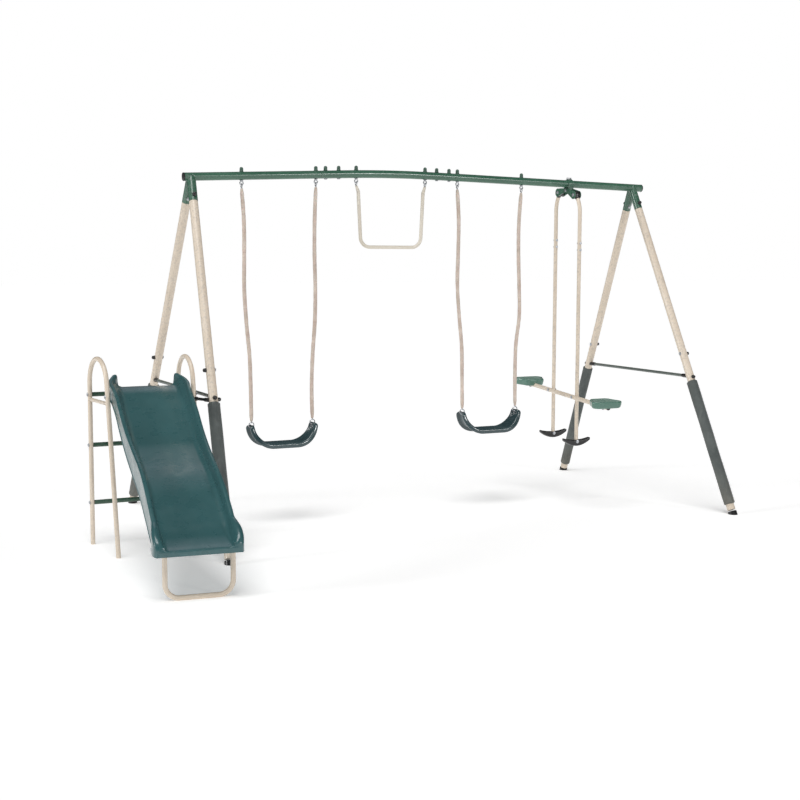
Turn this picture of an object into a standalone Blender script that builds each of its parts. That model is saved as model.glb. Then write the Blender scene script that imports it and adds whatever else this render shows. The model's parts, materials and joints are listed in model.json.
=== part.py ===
"""Garden swing set: two sling swings, a trapeze bar, a two-seat glider and a slide with its ladder.

Metres, +Z up. The parts are laid out with the middle of the swing frame at the origin, the top bar
along X and the slide running towards -Y. The whole set then hangs from one empty, which is moved so
that the origin is the bottom centre of the set's bounding box.
"""

import math

import bmesh
import bpy
from mathutils import Matrix, Vector
from mathutils.geometry import interpolate_bezier

# ---------------------------------------------------------------- driving dimensions
GAP = 0.0003  # clearance between parts that touch
TUBE_SIDES = 12
ROD_SIDES = 8
SMALL_SIDES = 6

# swing frame
APEX_X = 1.340  # leg planes meet the top bar here
FOOT_X = 1.445
FOOT_Y = 0.860
BAR_RADIUS = 0.021
BAR_WALL = 0.0015
BAR_END_LEFT = -1.377
BAR_SEAM_LEFT = -0.640
BAR_SEAM_RIGHT = 0.155
BAR_END_RIGHT = 1.400
BAR_OVERLAP = 0.140  # length of the reduced end inside the middle tube
BAR_LEFT_HEIGHT = 1.7975  # axis height over the left apex
BAR_SLOPE_LEFT = 0.042
BAR_SLOPE_RIGHT = -0.024

LEG_RADIUS = 0.02225
LEG_WALL = 0.0015
SOCKET_RADIUS = 0.0228
SOCKET_LENGTH = 0.140
SOCKET_START = 0.004
SOCKET_STAGGER = 0.0001  # keeps the two sleeves' faces from coinciding
SOCKET_BORE_START = 0.062
LEG_SPIGOT_START = 0.075
SEAM_HEIGHT = 0.826
SEAM_OVERLAP = 0.100
LEG_END_HEIGHT = 0.022  # axis height where the lower tube is cut
SOCKET_BOLT_AT = 0.112
JOINT_BOLT_ABOVE_SEAM = 0.035

PAD_RADIUS = 0.0297
PAD_TOP = 0.707
PAD_BOTTOM = 0.052
FOOT_CAP_RADIUS = 0.0250
FOOT_CAP_TOP = 0.015

CROSSBAR_RADIUS = 0.0085
CROSSBAR_WALL = 0.0012
CROSSBAR_HEIGHT = 0.733
PLUG_RADIUS = 0.0110
PLUG_LENGTH = 0.040

BOLT_RADIUS = 0.0036
BOLT_HOLE = 0.0044
HEAD_RADIUS = 0.0075
HEAD_HEIGHT = 0.0050
CAP_RADIUS = 0.0095
CAP_HEIGHT = 0.024
LEG_CAP_HEIGHT = 0.016
VENT_RADIUS = 0.002
SEATING = 0.0010  # how far a fixed fastener sinks into the wall that carries it
BAR_JOINT_BOLTS = (-0.608, -0.533, 0.049, 0.125)

# hangers
EYE_RADIUS = 0.009
EYE_WIRE = 0.003
HINGE_DROP = 0.046  # from the bar's axis to the hanging pivot
RING_RADIUS = 0.010
RING_WIRE = 0.0025
RING_CLEARANCE = 0.0008

# swings
CHAIN_RADIUS = 0.0105
CHAIN_END_RADIUS = 0.0065
CHAIN_TAPER = 0.030
CHAIN_STEPS = 3  # points for each stretch of the route
SEAT_FLAT = 0.065
SEAT_BEND = 0.100
SEAT_BEND_ANGLE = math.radians(78)
SEAT_TAIL = 0.020
SEAT_WIDTH = 0.130
SEAT_END_WIDTH = 0.074
SEAT_SKIN = 0.009
SEAT_FLANGE = 0.026
SEAT_FLANGE_WIDTH = 0.011
SEAT_RING_RADIUS = 0.014
SEAT_HOLE_RADIUS = 0.0050
SEAT_HOLE_BELOW_END = 0.014

# trapeze
TRAPEZE_X = -0.227
TRAPEZE_RADIUS = 0.0095
TRAPEZE_WALL = 0.0012
TRAPEZE_TOP_HALF = 0.193
TRAPEZE_BOTTOM_HALF = 0.1805
TRAPEZE_TOP = 1.745
TRAPEZE_BOTTOM = 1.450
TRAPEZE_CORNER = 0.055
LUG_THICKNESS = 0.004
LUG_WIDTH = 0.0145
LUG_OVERLAP = 0.0010

# glider
GLIDER_X = 0.903
GLIDER_TILT = math.radians(6.8)
PIVOT_OUT = 0.083
PIVOT_DROP = 0.055
PLATE_THICKNESS = 0.003
PLATE_SPACING = 0.034  # between the plates' inner faces
LOBE_RADIUS = 0.024
STRAP_THICKNESS = 0.003
STRAP_DROP = 0.042
SADDLE_CLEARANCE = 0.0009  # the bar slopes a little inside the straight strap
SADDLE_BOLT_OUT = 0.0095
CROSS_BOLT_DROP = 0.0345
BEARING_RADIUS = 0.018
ARM_RADIUS = 0.0110
ARM_WALL = 0.0013
ARM_START_ANGLE = math.radians(45)
ARM_BEND = 0.147
ARM_LEAN = 0.0  # inward, in radians
ARM_SEAM = 0.330  # below the pivot
ARM_OVERLAP = 0.075
ARM_LENGTH = 1.421  # pivot to the tube's lower end
BEAM_BELOW_PIVOT = 1.152
BEAM_RADIUS = 0.0125
BEAM_WALL = 0.0015
BEAM_FRONT = 0.484
BEAM_REAR = 0.395
BEAM_CLEARANCE = 0.002
GLIDER_SEAT_WIDTH = 0.190
GLIDER_SEAT_INNER_WIDTH = 0.138
GLIDER_SEAT_DEPTH = 0.120
GLIDER_SEAT_BELOW_AXIS = 0.002
GLIDER_SEAT_TOP = 0.036
GLIDER_SEAT_CORNER = 0.022
FOOTREST_WIDTH = 0.178
FOOTREST_DEPTH = 0.030
FOOTREST_MIDDLE = 0.036
FOOTREST_TIP = 0.014
FOOTREST_RISE = 0.012
FOOTREST_SOCKET = 0.022
OPEN_PIVOT_HOLE = 0.0064

# ladder
POST_RADIUS = 0.01125
POST_WALL = 0.0012
LADDER_LEFT_X = -1.908
LADDER_RIGHT_X = -1.468
LADDER_REAR_Y = -0.160
LADDER_SPREAD = 0.364  # rear foot to front foot
LADDER_ARCH_TOP = 0.915
ARCH_RADIUS = 0.123
LADDER_TOE_IN = math.radians(5.5)  # the left side stands turned inwards
STRUT_HEIGHT = 0.712
STRUT_RADIUS = 0.009
RUNG_RADIUS = 0.0110
RUNG_PLUG = 0.012
RUNG_HEIGHTS = (("lower", 0.207), ("middle", 0.489), ("top", 0.735))

# slide
SLIDE_X = -1.662
SLIDE_Y = -0.270
SLIDE_TURN = math.radians(-5.4)
SLIDE_FLOOR_HALF = 0.141
SLIDE_WALL = 0.030  # least width kept for each side wall
SLIDE_SKIN = 0.006
SLIDE_SHAPE = (
    # distance down the slide, floor height, half width, rail above the floor, skirt below it
    (0.000, 0.776, 0.158, 0.060, 0.040),
    (0.055, 0.774, 0.184, 0.044, 0.040),
    (0.105, 0.764, 0.191, 0.038, 0.040),
    (0.150, 0.744, 0.187, 0.043, 0.038),
    (0.240, 0.693, 0.183, 0.056, 0.036),
    (0.330, 0.640, 0.183, 0.060, 0.036),
    (0.480, 0.558, 0.179, 0.058, 0.044),
    (0.630, 0.497, 0.174, 0.056, 0.058),
    (0.780, 0.443, 0.171, 0.056, 0.068),
    (0.930, 0.373, 0.173, 0.056, 0.070),
    (1.050, 0.300, 0.174, 0.050, 0.064),
    (1.085, 0.277, 0.174, 0.049, 0.058),
    (1.115, 0.261, 0.181, 0.054, 0.050),
    (1.145, 0.247, 0.187, 0.056, 0.040),
    (1.180, 0.233, 0.188, 0.048, 0.032),
    (1.203, 0.226, 0.184, 0.034, 0.027),
    (1.215, 0.222, 0.176, 0.018, 0.024),
)
SLIDE_LENGTH = SLIDE_SHAPE[-1][0]
LIP_DEPTH = 0.025  # the floor's turned-down front edge
LIP_THICKNESS = 0.008
LIP_ROOT = 0.001
SLIDE_BOLT_HEIGHT = 0.745
FLARE_ALLOWANCE = 0.0022  # keeps a bolt's flat end clear of the flaring side walls
BASE_ALONG = 1.140
BASE_HALF = 0.1420
BASE_SHIFT = 0.010
BASE_RADIUS = 0.0110
BASE_CORNER = 0.060
BASE_TOP = 0.232
BASE_BOLT_HEIGHT = 0.222
TIE_HEIGHT = 0.7215
TIE_RADIUS = 0.010

COLOURS = {
    "green_paint": ((0.095, 0.235, 0.150), 0.35, 0.0),
    "tan_paint": ((0.690, 0.570, 0.430), 0.40, 0.0),
    "pad_foam": ((0.110, 0.135, 0.130), 0.85, 0.0),
    "slate_paint": ((0.095, 0.140, 0.132), 0.40, 0.0),
    "black_plastic": ((0.014, 0.016, 0.018), 0.45, 0.0),
    "zinc_steel": ((0.550, 0.560, 0.570), 0.30, 1.0),
    "chain_sleeve": ((0.560, 0.440, 0.370), 0.70, 0.0),
    "seat_plastic": ((0.035, 0.085, 0.092), 0.25, 0.0),
    "slide_plastic": ((0.040, 0.110, 0.110), 0.30, 0.0),
    "glider_plastic": ((0.110, 0.280, 0.200), 0.35, 0.0),
    "rung_paint": ((0.040, 0.130, 0.075), 0.40, 0.0),
}

X_AXIS = Vector((1, 0, 0))
Y_AXIS = Vector((0, 1, 0))
Z_AXIS = Vector((0, 0, 1))


# ---------------------------------------------------------------- modelling helpers
def clear_scene():
    """Remove every object of the open scene."""
    for item in list(bpy.data.objects):
        bpy.data.objects.remove(item, do_unlink=True)


def make_materials():
    """Make one Principled material for each finish."""
    materials = {}
    for name, (colour, roughness, metallic) in COLOURS.items():
        material = bpy.data.materials.new(name)
        material.use_nodes = True
        shader = material.node_tree.nodes["Principled BSDF"]
        shader.inputs["Base Color"].default_value = (*colour, 1.0)
        shader.inputs["Roughness"].default_value = roughness
        shader.inputs["Metallic"].default_value = metallic
        material.diffuse_color = (*colour, 1.0)
        materials[name] = material
    return materials


def make_body(name, location, parent=None):
    """Make the empty that the parts of one body hang from."""
    empty = bpy.data.objects.new(name, None)
    empty.location = location
    empty.parent = parent
    bpy.context.scene.collection.objects.link(empty)
    return empty


def add_object(name, data, material, body):
    """Link a part built in set coordinates under its body's empty."""
    origin = body.location.copy()
    if body.parent and body.parent.parent:
        origin += body.parent.location
    data.transform(Matrix.Translation(-origin))
    part = bpy.data.objects.new(name, data)
    part.data.materials.append(material)
    part.parent = body
    bpy.context.scene.collection.objects.link(part)
    return part


def finish(name, bm, material, body):
    """Turn a bmesh into a smooth-shaded part."""
    bmesh.ops.recalc_face_normals(bm, faces=bm.faces)
    mesh = bpy.data.meshes.new(name)
    bm.to_mesh(mesh)
    bm.free()
    mesh.shade_smooth()
    mesh.set_sharp_from_angle(angle=math.radians(35))
    return add_object(name, mesh, material, body)


def tangents(points):
    """Direction of a polyline at each of its points; a repeated point keeps its neighbour's."""
    result = []
    last = len(points) - 1
    for i, point in enumerate(points):
        before = i
        while before > 0 and (points[before] - point).length < 1e-6:
            before -= 1
        after = i
        while after < last and (points[after] - point).length < 1e-6:
            after += 1
        back = (point - points[before]).normalized()
        ahead = (points[after] - point).normalized()
        result.append((back + ahead).normalized())
    return result


def circle_points(centre, direction, normal, radius, sides):
    """Points of a circle square to direction, the first one on the side of normal."""
    across = (normal - direction * normal.dot(direction)).normalized()
    up = direction.cross(across)
    points = []
    for i in range(sides):
        angle = 2 * math.pi * (i + 0.5) / sides
        points.append(centre + (across * math.cos(angle) + up * math.sin(angle)) * radius)
    return points


def add_loops(bm, loops):
    """Join point loops into skins and return their vertices."""
    rows = [[bm.verts.new(p) for p in loop] for loop in loops]
    count = len(rows[0])
    for row, following in zip(rows, rows[1:]):
        for i in range(count):
            j = (i + 1) % count
            bm.faces.new((row[i], row[j], following[j], following[i]))
    return rows


def add_loft(bm, loops):
    """Closed solid through point loops, with flat ends."""
    rows = add_loops(bm, loops)
    bm.faces.new(rows[0])
    bm.faces.new(reversed(rows[-1]))


def add_rod(bm, path, radii, normal, sides):
    """Closed solid rod along a path; radii is one radius or one for each point."""
    if not isinstance(radii, (list, tuple)):
        radii = [radii] * len(path)
    loops = [
        circle_points(p, t, normal, r, sides) for p, t, r in zip(path, tangents(path), radii)
    ]
    add_loft(bm, loops)


def add_tube(bm, path, outer, inner, normal, sides):
    """Hollow tube with open ends; outer and inner are one radius or one for each point."""
    if not isinstance(outer, (list, tuple)):
        outer = [outer] * len(path)
    if not isinstance(inner, (list, tuple)):
        inner = [inner] * len(path)
    directions = tangents(path)
    outside = [circle_points(p, t, normal, r, sides) for p, t, r in zip(path, directions, outer)]
    inside = [circle_points(p, t, normal, r, sides) for p, t, r in zip(path, directions, inner)]
    outer_rows = add_loops(bm, outside)
    inner_rows = add_loops(bm, inside)
    for row, bore in ((outer_rows[0], inner_rows[0]), (outer_rows[-1], inner_rows[-1])):
        for i in range(sides):
            j = (i + 1) % sides
            bm.faces.new((row[i], row[j], bore[j], bore[i]))


def add_turned(bm, base, direction, profile, sides):
    """Closed solid turned from (radius, distance) pairs that start and end on the axis."""
    direction = direction.normalized()
    normal = direction.orthogonal()
    rows = []
    for radius, distance in profile:
        centre = base + direction * distance
        if radius == 0:
            rows.append([bm.verts.new(centre)])
        else:
            loop = circle_points(centre, direction, normal, radius, sides)
            rows.append([bm.verts.new(p) for p in loop])
    for row, following in zip(rows, rows[1:]):
        for i in range(sides):
            j = (i + 1) % sides
            if len(row) == 1:
                bm.faces.new((row[0], following[i], following[j]))
            elif len(following) == 1:
                bm.faces.new((row[i], row[j], following[0]))
            else:
                bm.faces.new((row[i], row[j], following[j], following[i]))


def add_bolt(bm, start, direction, grip, nut=True):
    """Hex bolt: the head ends at start and the shank runs on for grip, with a nut at its end."""
    profile = [
        (0, -HEAD_HEIGHT),
        (HEAD_RADIUS, -HEAD_HEIGHT),
        (HEAD_RADIUS, 0),
        (BOLT_RADIUS, 0),
        (BOLT_RADIUS, grip),
        (0, grip),
    ]
    if nut:
        profile[-1:] = [(HEAD_RADIUS, grip), (HEAD_RADIUS, grip + HEAD_HEIGHT), (0, grip + HEAD_HEIGHT)]
    add_turned(bm, start, direction, profile, SMALL_SIDES)


def add_capped_bolt(bm, start, direction, grip, cap_height):
    """Hex bolt with a domed cap nut at its end."""
    profile = [
        (0, -HEAD_HEIGHT),
        (HEAD_RADIUS, -HEAD_HEIGHT),
        (HEAD_RADIUS, 0),
        (BOLT_RADIUS, 0),
        (BOLT_RADIUS, grip),
        (CAP_RADIUS, grip),
        (CAP_RADIUS, grip + cap_height * 0.62),
        (CAP_RADIUS * 0.6, grip + cap_height),
        (0, grip + cap_height),
    ]
    add_turned(bm, start, direction, profile, SMALL_SIDES)


def add_ring(bm, centre, axis, radius, wire, turns=9, sides=5):
    """Closed wire ring around axis."""
    axis = axis.normalized()
    across = axis.orthogonal().normalized()
    up = axis.cross(across)
    rows = []
    for i in range(turns):
        angle = 2 * math.pi * i / turns
        out = across * math.cos(angle) + up * math.sin(angle)
        middle = centre + out * radius
        row = []
        for j in range(sides):
            roll = 2 * math.pi * j / sides
            row.append(bm.verts.new(middle + (out * math.cos(roll) + axis * math.sin(roll)) * wire))
        rows.append(row)
    for i in range(turns):
        row = rows[i]
        following = rows[(i + 1) % turns]
        for j in range(sides):
            k = (j + 1) % sides
            bm.faces.new((row[j], row[k], following[k], following[j]))


def add_extrusion(bm, outline, origin, across, up, depth):
    """Flat plate: an outline of (across, up) pairs, extruded square to itself, centred."""
    out = across.cross(up).normalized()
    loops = []
    for side in (-0.5, 0.5):
        loops.append([origin + across * a + up * b + out * (side * depth) for a, b in outline])
    add_loft(bm, loops)


def arc(centre, radius, start, end, steps):
    """Points (a, b) of an arc, angles in radians."""
    points = []
    for i in range(steps + 1):
        angle = start + (end - start) * i / steps
        points.append((centre[0] + radius * math.cos(angle), centre[1] + radius * math.sin(angle)))
    return points


def cutter_object(bm):
    """Hidden cutter made from a bmesh."""
    bmesh.ops.recalc_face_normals(bm, faces=bm.faces)
    mesh = bpy.data.meshes.new("cutter")
    bm.to_mesh(mesh)
    bm.free()
    cutter = bpy.data.objects.new("cutter", mesh)
    cutter.hide_render = True
    cutter.display_type = "WIRE"
    bpy.context.scene.collection.objects.link(cutter)
    return cutter


def apply_boolean(part, bm, operation="DIFFERENCE"):
    """Cut or join a part with the solids in bm, which are in set coordinates."""
    origin = part.parent.location.copy()
    if part.parent.parent and part.parent.parent.parent:
        origin += part.parent.parent.location
    bmesh.ops.translate(bm, verts=bm.verts, vec=-origin)
    cutter = cutter_object(bm)
    cutter.parent = part.parent
    modifier = part.modifiers.new("boolean", "BOOLEAN")
    modifier.operation = operation
    modifier.solver = "EXACT"
    modifier.object = cutter
    bpy.context.view_layer.update()
    evaluated = part.evaluated_get(bpy.context.evaluated_depsgraph_get())
    mesh = bpy.data.meshes.new_from_object(evaluated)
    part.modifiers.remove(modifier)
    part.data = mesh
    bpy.data.objects.remove(cutter, do_unlink=True)
    mesh.shade_smooth()
    mesh.set_sharp_from_angle(angle=math.radians(35))


def drill(part, holes, radius=BOLT_HOLE):
    """Drill straight holes; each is (middle, direction, length)."""
    bm = bmesh.new()
    for middle, direction, length in holes:
        direction = direction.normalized()
        half = direction * (length / 2)
        add_rod(bm, [middle - half, middle + half], radius, direction.orthogonal(), SMALL_SIDES)
    apply_boolean(part, bm)


# ---------------------------------------------------------------- swing frame
def bar_point(x):
    """Point on the arched top bar's axis."""
    bend_start = BAR_SEAM_LEFT + BAR_OVERLAP
    bend_end = BAR_SEAM_RIGHT - BAR_OVERLAP
    z = BAR_LEFT_HEIGHT + BAR_SLOPE_LEFT * (min(x, bend_start) + APEX_X)
    if x > bend_start:
        along = min(x, bend_end) - bend_start
        curvature = (BAR_SLOPE_RIGHT - BAR_SLOPE_LEFT) / (bend_end - bend_start)
        z += BAR_SLOPE_LEFT * along + curvature * along**2 / 2
    if x > bend_end:
        z += BAR_SLOPE_RIGHT * (x - bend_end)
    return Vector((x, 0, z))


def leg_points(side, face):
    """Apex and foot of a leg's axis; side is the X sign and face the Y sign."""
    apex = bar_point(side * APEX_X)
    return apex, Vector((side * FOOT_X, face * FOOT_Y, 0))


def leg_at(side, face, distance):
    """Point on a leg's axis, measured from the apex."""
    apex, foot = leg_points(side, face)
    return apex + (foot - apex).normalized() * distance


def leg_at_height(side, face, height):
    """Point on a leg's axis at a height."""
    apex, foot = leg_points(side, face)
    return apex.lerp(foot, (apex.z - height) / apex.z)


def leg_distance(side, face, height):
    """Distance from the apex to a height, along a leg."""
    return (leg_at_height(side, face, height) - bar_point(side * APEX_X)).length


def leg_outward(side, face):
    """Direction square to a leg that looks away from the other leg of its pair."""
    along = leg_at(side, face, 1) - leg_at(side, face, 0)
    return X_AXIS.cross(along).normalized() * face


LEGS = (
    ("front_left", -1, -1),
    ("rear_left", -1, 1),
    ("front_right", 1, -1),
    ("rear_right", 1, 1),
)


def make_end_bar(name, side, finishes, body):
    """Outer top bar: a tube with a reduced end, two welded leg sockets and their bolts."""
    end = BAR_END_LEFT if side < 0 else BAR_END_RIGHT
    seam = (BAR_SEAM_LEFT if side < 0 else BAR_SEAM_RIGHT) + side * GAP
    tip = seam - side * BAR_OVERLAP
    bore = BAR_RADIUS - BAR_WALL
    spigot = bore - 0.0004
    bm = bmesh.new()
    path = [bar_point(end), bar_point(seam), bar_point(seam), bar_point(tip)]
    add_rod(bm, path, [BAR_RADIUS, BAR_RADIUS, spigot, spigot], Y_AXIS, TUBE_SIDES)
    bar = finish(name, bm, finishes["green_paint"], body)
    for face in (-1, 1):
        bm = bmesh.new()
        start = SOCKET_START + face * SOCKET_STAGGER
        ends = [leg_at(side, face, start), leg_at(side, face, SOCKET_LENGTH)]
        add_rod(bm, ends, SOCKET_RADIUS + face * SOCKET_STAGGER, X_AXIS, TUBE_SIDES)
        apply_boolean(bar, bm, "UNION")
    margin = 0.010
    bm = bmesh.new()
    path = [
        bar_point(end + side * margin),
        bar_point(seam + side * margin),
        bar_point(seam),
        bar_point(tip - side * margin),
    ]
    slim = spigot - BAR_WALL
    add_rod(bm, path, [bore, bore, slim, slim], Y_AXIS, TUBE_SIDES)
    apply_boolean(bar, bm)
    for face in (-1, 1):
        bm = bmesh.new()
        ends = [leg_at(side, face, SOCKET_BORE_START), leg_at(side, face, SOCKET_LENGTH + margin)]
        add_rod(bm, ends, SOCKET_RADIUS - LEG_WALL, X_AXIS, TUBE_SIDES)
        apply_boolean(bar, bm)
    for face in (-1, 1):
        outward = leg_outward(side, face)
        reach = SOCKET_RADIUS - SEATING
        bm = bmesh.new()
        start = leg_at(side, face, SOCKET_BOLT_AT) - outward * reach
        add_capped_bolt(bm, start, outward, 2 * reach, LEG_CAP_HEIGHT)
        apply_boolean(bar, bm, "UNION")
    return bar


def make_middle_bar(finishes, body):
    """Middle top bar: a curved tube, with the bolts that hold the other two tubes' ends in it."""
    bend_start = BAR_SEAM_LEFT + BAR_OVERLAP
    bend_end = BAR_SEAM_RIGHT - BAR_OVERLAP
    steps = 8
    stops = [BAR_SEAM_LEFT]
    stops += [bend_start + (bend_end - bend_start) * i / steps for i in range(steps + 1)]
    stops += [BAR_SEAM_RIGHT]
    bm = bmesh.new()
    path = [bar_point(x) for x in stops]
    add_tube(bm, path, BAR_RADIUS, BAR_RADIUS - BAR_WALL, Y_AXIS, TUBE_SIDES)
    middle = finish("top_bar_middle", bm, finishes["green_paint"], body)
    for x in BAR_JOINT_BOLTS:
        bm = bmesh.new()
        reach = BAR_RADIUS - SEATING
        add_capped_bolt(bm, bar_point(x) - Z_AXIS * reach, Z_AXIS, 2 * reach, CAP_HEIGHT)
        apply_boolean(middle, bm, "UNION")
    return middle


def make_top_bar(finishes, body, hanger_stops):
    """The three tubes of the top bar, drilled for their bolts and hangers, and two end plugs."""
    left = make_end_bar("top_bar_left", -1, finishes, body)
    right = make_end_bar("top_bar_right", 1, finishes, body)
    middle = make_middle_bar(finishes, body)
    saddle_stops = [GLIDER_X - SADDLE_BOLT_OUT, GLIDER_X + SADDLE_BOLT_OUT]
    stops = list(hanger_stops) + saddle_stops
    spans = (
        (left, BAR_END_LEFT, BAR_SEAM_LEFT, [x for x in BAR_JOINT_BOLTS if x < 0]),
        (middle, BAR_SEAM_LEFT, BAR_SEAM_RIGHT, []),
        (right, BAR_SEAM_RIGHT, BAR_END_RIGHT, [x for x in BAR_JOINT_BOLTS if x > 0]),
    )
    for bar, start, end, joints in spans:
        drilled = joints + [x for x in stops if start < x < end]
        drill(bar, [(bar_point(x), Z_AXIS, 0.06) for x in drilled])
    for name, side, end in (("left", -1, BAR_END_LEFT), ("right", 1, BAR_END_RIGHT)):
        plug = BAR_RADIUS - BAR_WALL - 0.0004
        rim = BAR_RADIUS + 0.001
        distances = (-0.020, GAP, GAP, 0.006)
        path = [bar_point(end + side * d) for d in distances]
        bm = bmesh.new()
        add_rod(bm, path, [plug, plug, rim, rim], Y_AXIS, TUBE_SIDES)
        finish(f"bar_end_cap_{name}", bm, finishes["black_plastic"], body)


def make_upper_leg(name, side, face, finishes, body):
    """Upper leg tube: its top slides into the socket, and it carries the joint bolt."""
    seam = leg_distance(side, face, SEAM_HEIGHT)
    spigot = SOCKET_RADIUS - LEG_WALL - 0.0006
    bm = bmesh.new()
    add_tube(
        bm,
        [
            leg_at(side, face, d)
            for d in (LEG_SPIGOT_START, SOCKET_LENGTH + GAP, SOCKET_LENGTH + GAP, seam - GAP)
        ],
        [spigot, spigot, LEG_RADIUS, LEG_RADIUS],
        [spigot - LEG_WALL, spigot - LEG_WALL, LEG_RADIUS - LEG_WALL, LEG_RADIUS - LEG_WALL],
        X_AXIS,
        TUBE_SIDES,
    )
    leg = finish(f"upper_leg_{name}", bm, finishes["tan_paint"], body)
    drill(leg, [(leg_at(side, face, SOCKET_BOLT_AT), leg_outward(side, face), 0.07)])
    outward = X_AXIS * side
    reach = LEG_RADIUS - SEATING
    bm = bmesh.new()
    start = leg_at(side, face, seam - JOINT_BOLT_ABOVE_SEAM) - outward * reach
    add_capped_bolt(bm, start, outward, 2 * reach, LEG_CAP_HEIGHT)
    apply_boolean(leg, bm, "UNION")


def make_lower_leg(name, side, face, finishes, body):
    """Lower leg tube: its top slides into the upper leg."""
    seam = leg_distance(side, face, SEAM_HEIGHT)
    end = leg_distance(side, face, LEG_END_HEIGHT)
    spigot = LEG_RADIUS - LEG_WALL - 0.0005
    bm = bmesh.new()
    add_tube(
        bm,
        [leg_at(side, face, d) for d in (seam - SEAM_OVERLAP, seam, seam, end)],
        [spigot, spigot, LEG_RADIUS, LEG_RADIUS],
        [spigot - LEG_WALL, spigot - LEG_WALL, LEG_RADIUS - LEG_WALL, LEG_RADIUS - LEG_WALL],
        X_AXIS,
        TUBE_SIDES,
    )
    leg = finish(f"lower_leg_{name}", bm, finishes["tan_paint"], body)
    holes = [
        (leg_at(side, face, seam - JOINT_BOLT_ABOVE_SEAM), X_AXIS, 0.07),
        (leg_at_height(side, face, CROSSBAR_HEIGHT), Y_AXIS, 0.09),
    ]
    if (side, face) == (-1, -1):
        holes.append((tie_ends()[1], X_AXIS, 0.07))
    drill(leg, holes)


def make_foot_cap(name, side, face, finishes, body):
    """Rubber foot: an open-topped cup cut level with the ground."""
    top = leg_at_height(side, face, FOOT_CAP_TOP)
    bottom = leg_at_height(side, face, -0.03)
    bm = bmesh.new()
    add_rod(bm, [top, bottom], FOOT_CAP_RADIUS, X_AXIS, TUBE_SIDES)
    geometry = bm.verts[:] + bm.edges[:] + bm.faces[:]
    bmesh.ops.bisect_plane(bm, geom=geometry, plane_co=(0, 0, 0), plane_no=-Z_AXIS, clear_outer=True)
    rim = [edge for edge in bm.edges if edge.is_boundary]
    bmesh.ops.contextual_create(bm, geom=rim)
    cap = finish(f"foot_cap_{name}", bm, finishes["black_plastic"], body)
    bm = bmesh.new()
    ends = [leg_at_height(side, face, LEG_END_HEIGHT), leg_at_height(side, face, 0.1)]
    direction = (ends[0] - ends[1]).normalized()
    ends[0] += direction * 0.0004
    add_rod(bm, ends, LEG_RADIUS + 0.0004, X_AXIS, TUBE_SIDES)
    apply_boolean(cap, bm)


def make_legs(finishes, body):
    """Two-piece legs with their foam pads and rubber feet."""
    for name, side, face in LEGS:
        make_upper_leg(name, side, face, finishes, body)
        make_lower_leg(name, side, face, finishes, body)
        bm = bmesh.new()
        ends = [leg_at_height(side, face, PAD_BOTTOM), leg_at_height(side, face, PAD_TOP)]
        add_tube(bm, ends, PAD_RADIUS, LEG_RADIUS + 0.0004, X_AXIS, TUBE_SIDES)
        finish(f"leg_pad_{name}", bm, finishes["pad_foam"], body)
        make_foot_cap(name, side, face, finishes, body)


def hollow_out(part, ends, radius, normal):
    """Bore out a closed tube between two points, with a small vent in its underside."""
    bm = bmesh.new()
    add_rod(bm, ends, radius, normal, ROD_SIDES)
    apply_boolean(part, bm)
    middle = (ends[0] + ends[1]) / 2
    drill(part, [(middle - Z_AXIS * radius, Z_AXIS, radius)], VENT_RADIUS)


def make_crossbars(finishes, body):
    """Crossbars between each pair of legs, with saddle ends and bolts through the legs."""
    for name, side in (("left", -1), ("right", 1)):
        middle = leg_at_height(side, 1, CROSSBAR_HEIGHT)
        lean = math.atan(FOOT_Y / bar_point(side * APEX_X).z)
        reach = middle.y - LEG_RADIUS / math.cos(lean) - PLUG_LENGTH
        stops = (
            (-middle.y, PLUG_RADIUS),
            (-reach, PLUG_RADIUS),
            (-reach, CROSSBAR_RADIUS),
            (reach, CROSSBAR_RADIUS),
            (reach, PLUG_RADIUS),
            (middle.y, PLUG_RADIUS),
        )
        path = [Vector((middle.x, y, middle.z)) for y, _ in stops]
        bm = bmesh.new()
        add_rod(bm, path, [r for _, r in stops], X_AXIS, ROD_SIDES)
        bar = finish(f"crossbar_{name}", bm, finishes["slate_paint"], body)
        stand_off = LEG_RADIUS / math.cos(lean) + HEAD_RADIUS * math.tan(lean) + GAP
        for face in (-1, 1):
            bm = bmesh.new()
            ends = [leg_at_height(side, face, 0.6), leg_at_height(side, face, 0.9)]
            add_rod(bm, ends, LEG_RADIUS + 0.0004, X_AXIS, TUBE_SIDES)
            apply_boolean(bar, bm)
            bm = bmesh.new()
            start = leg_at_height(side, face, CROSSBAR_HEIGHT) + Y_AXIS * (face * stand_off)
            add_bolt(bm, start, -Y_AXIS * face, 2 * stand_off + 0.01, nut=False)
            apply_boolean(bar, bm, "UNION")
        bore = [Vector((middle.x, y, middle.z)) for y in (-reach, reach)]
        hollow_out(bar, bore, CROSSBAR_RADIUS - CROSSBAR_WALL, X_AXIS)


def hinge_point(x):
    """Where something hangs from the eye bolt at x."""
    return bar_point(x) - Z_AXIS * HINGE_DROP


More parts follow.
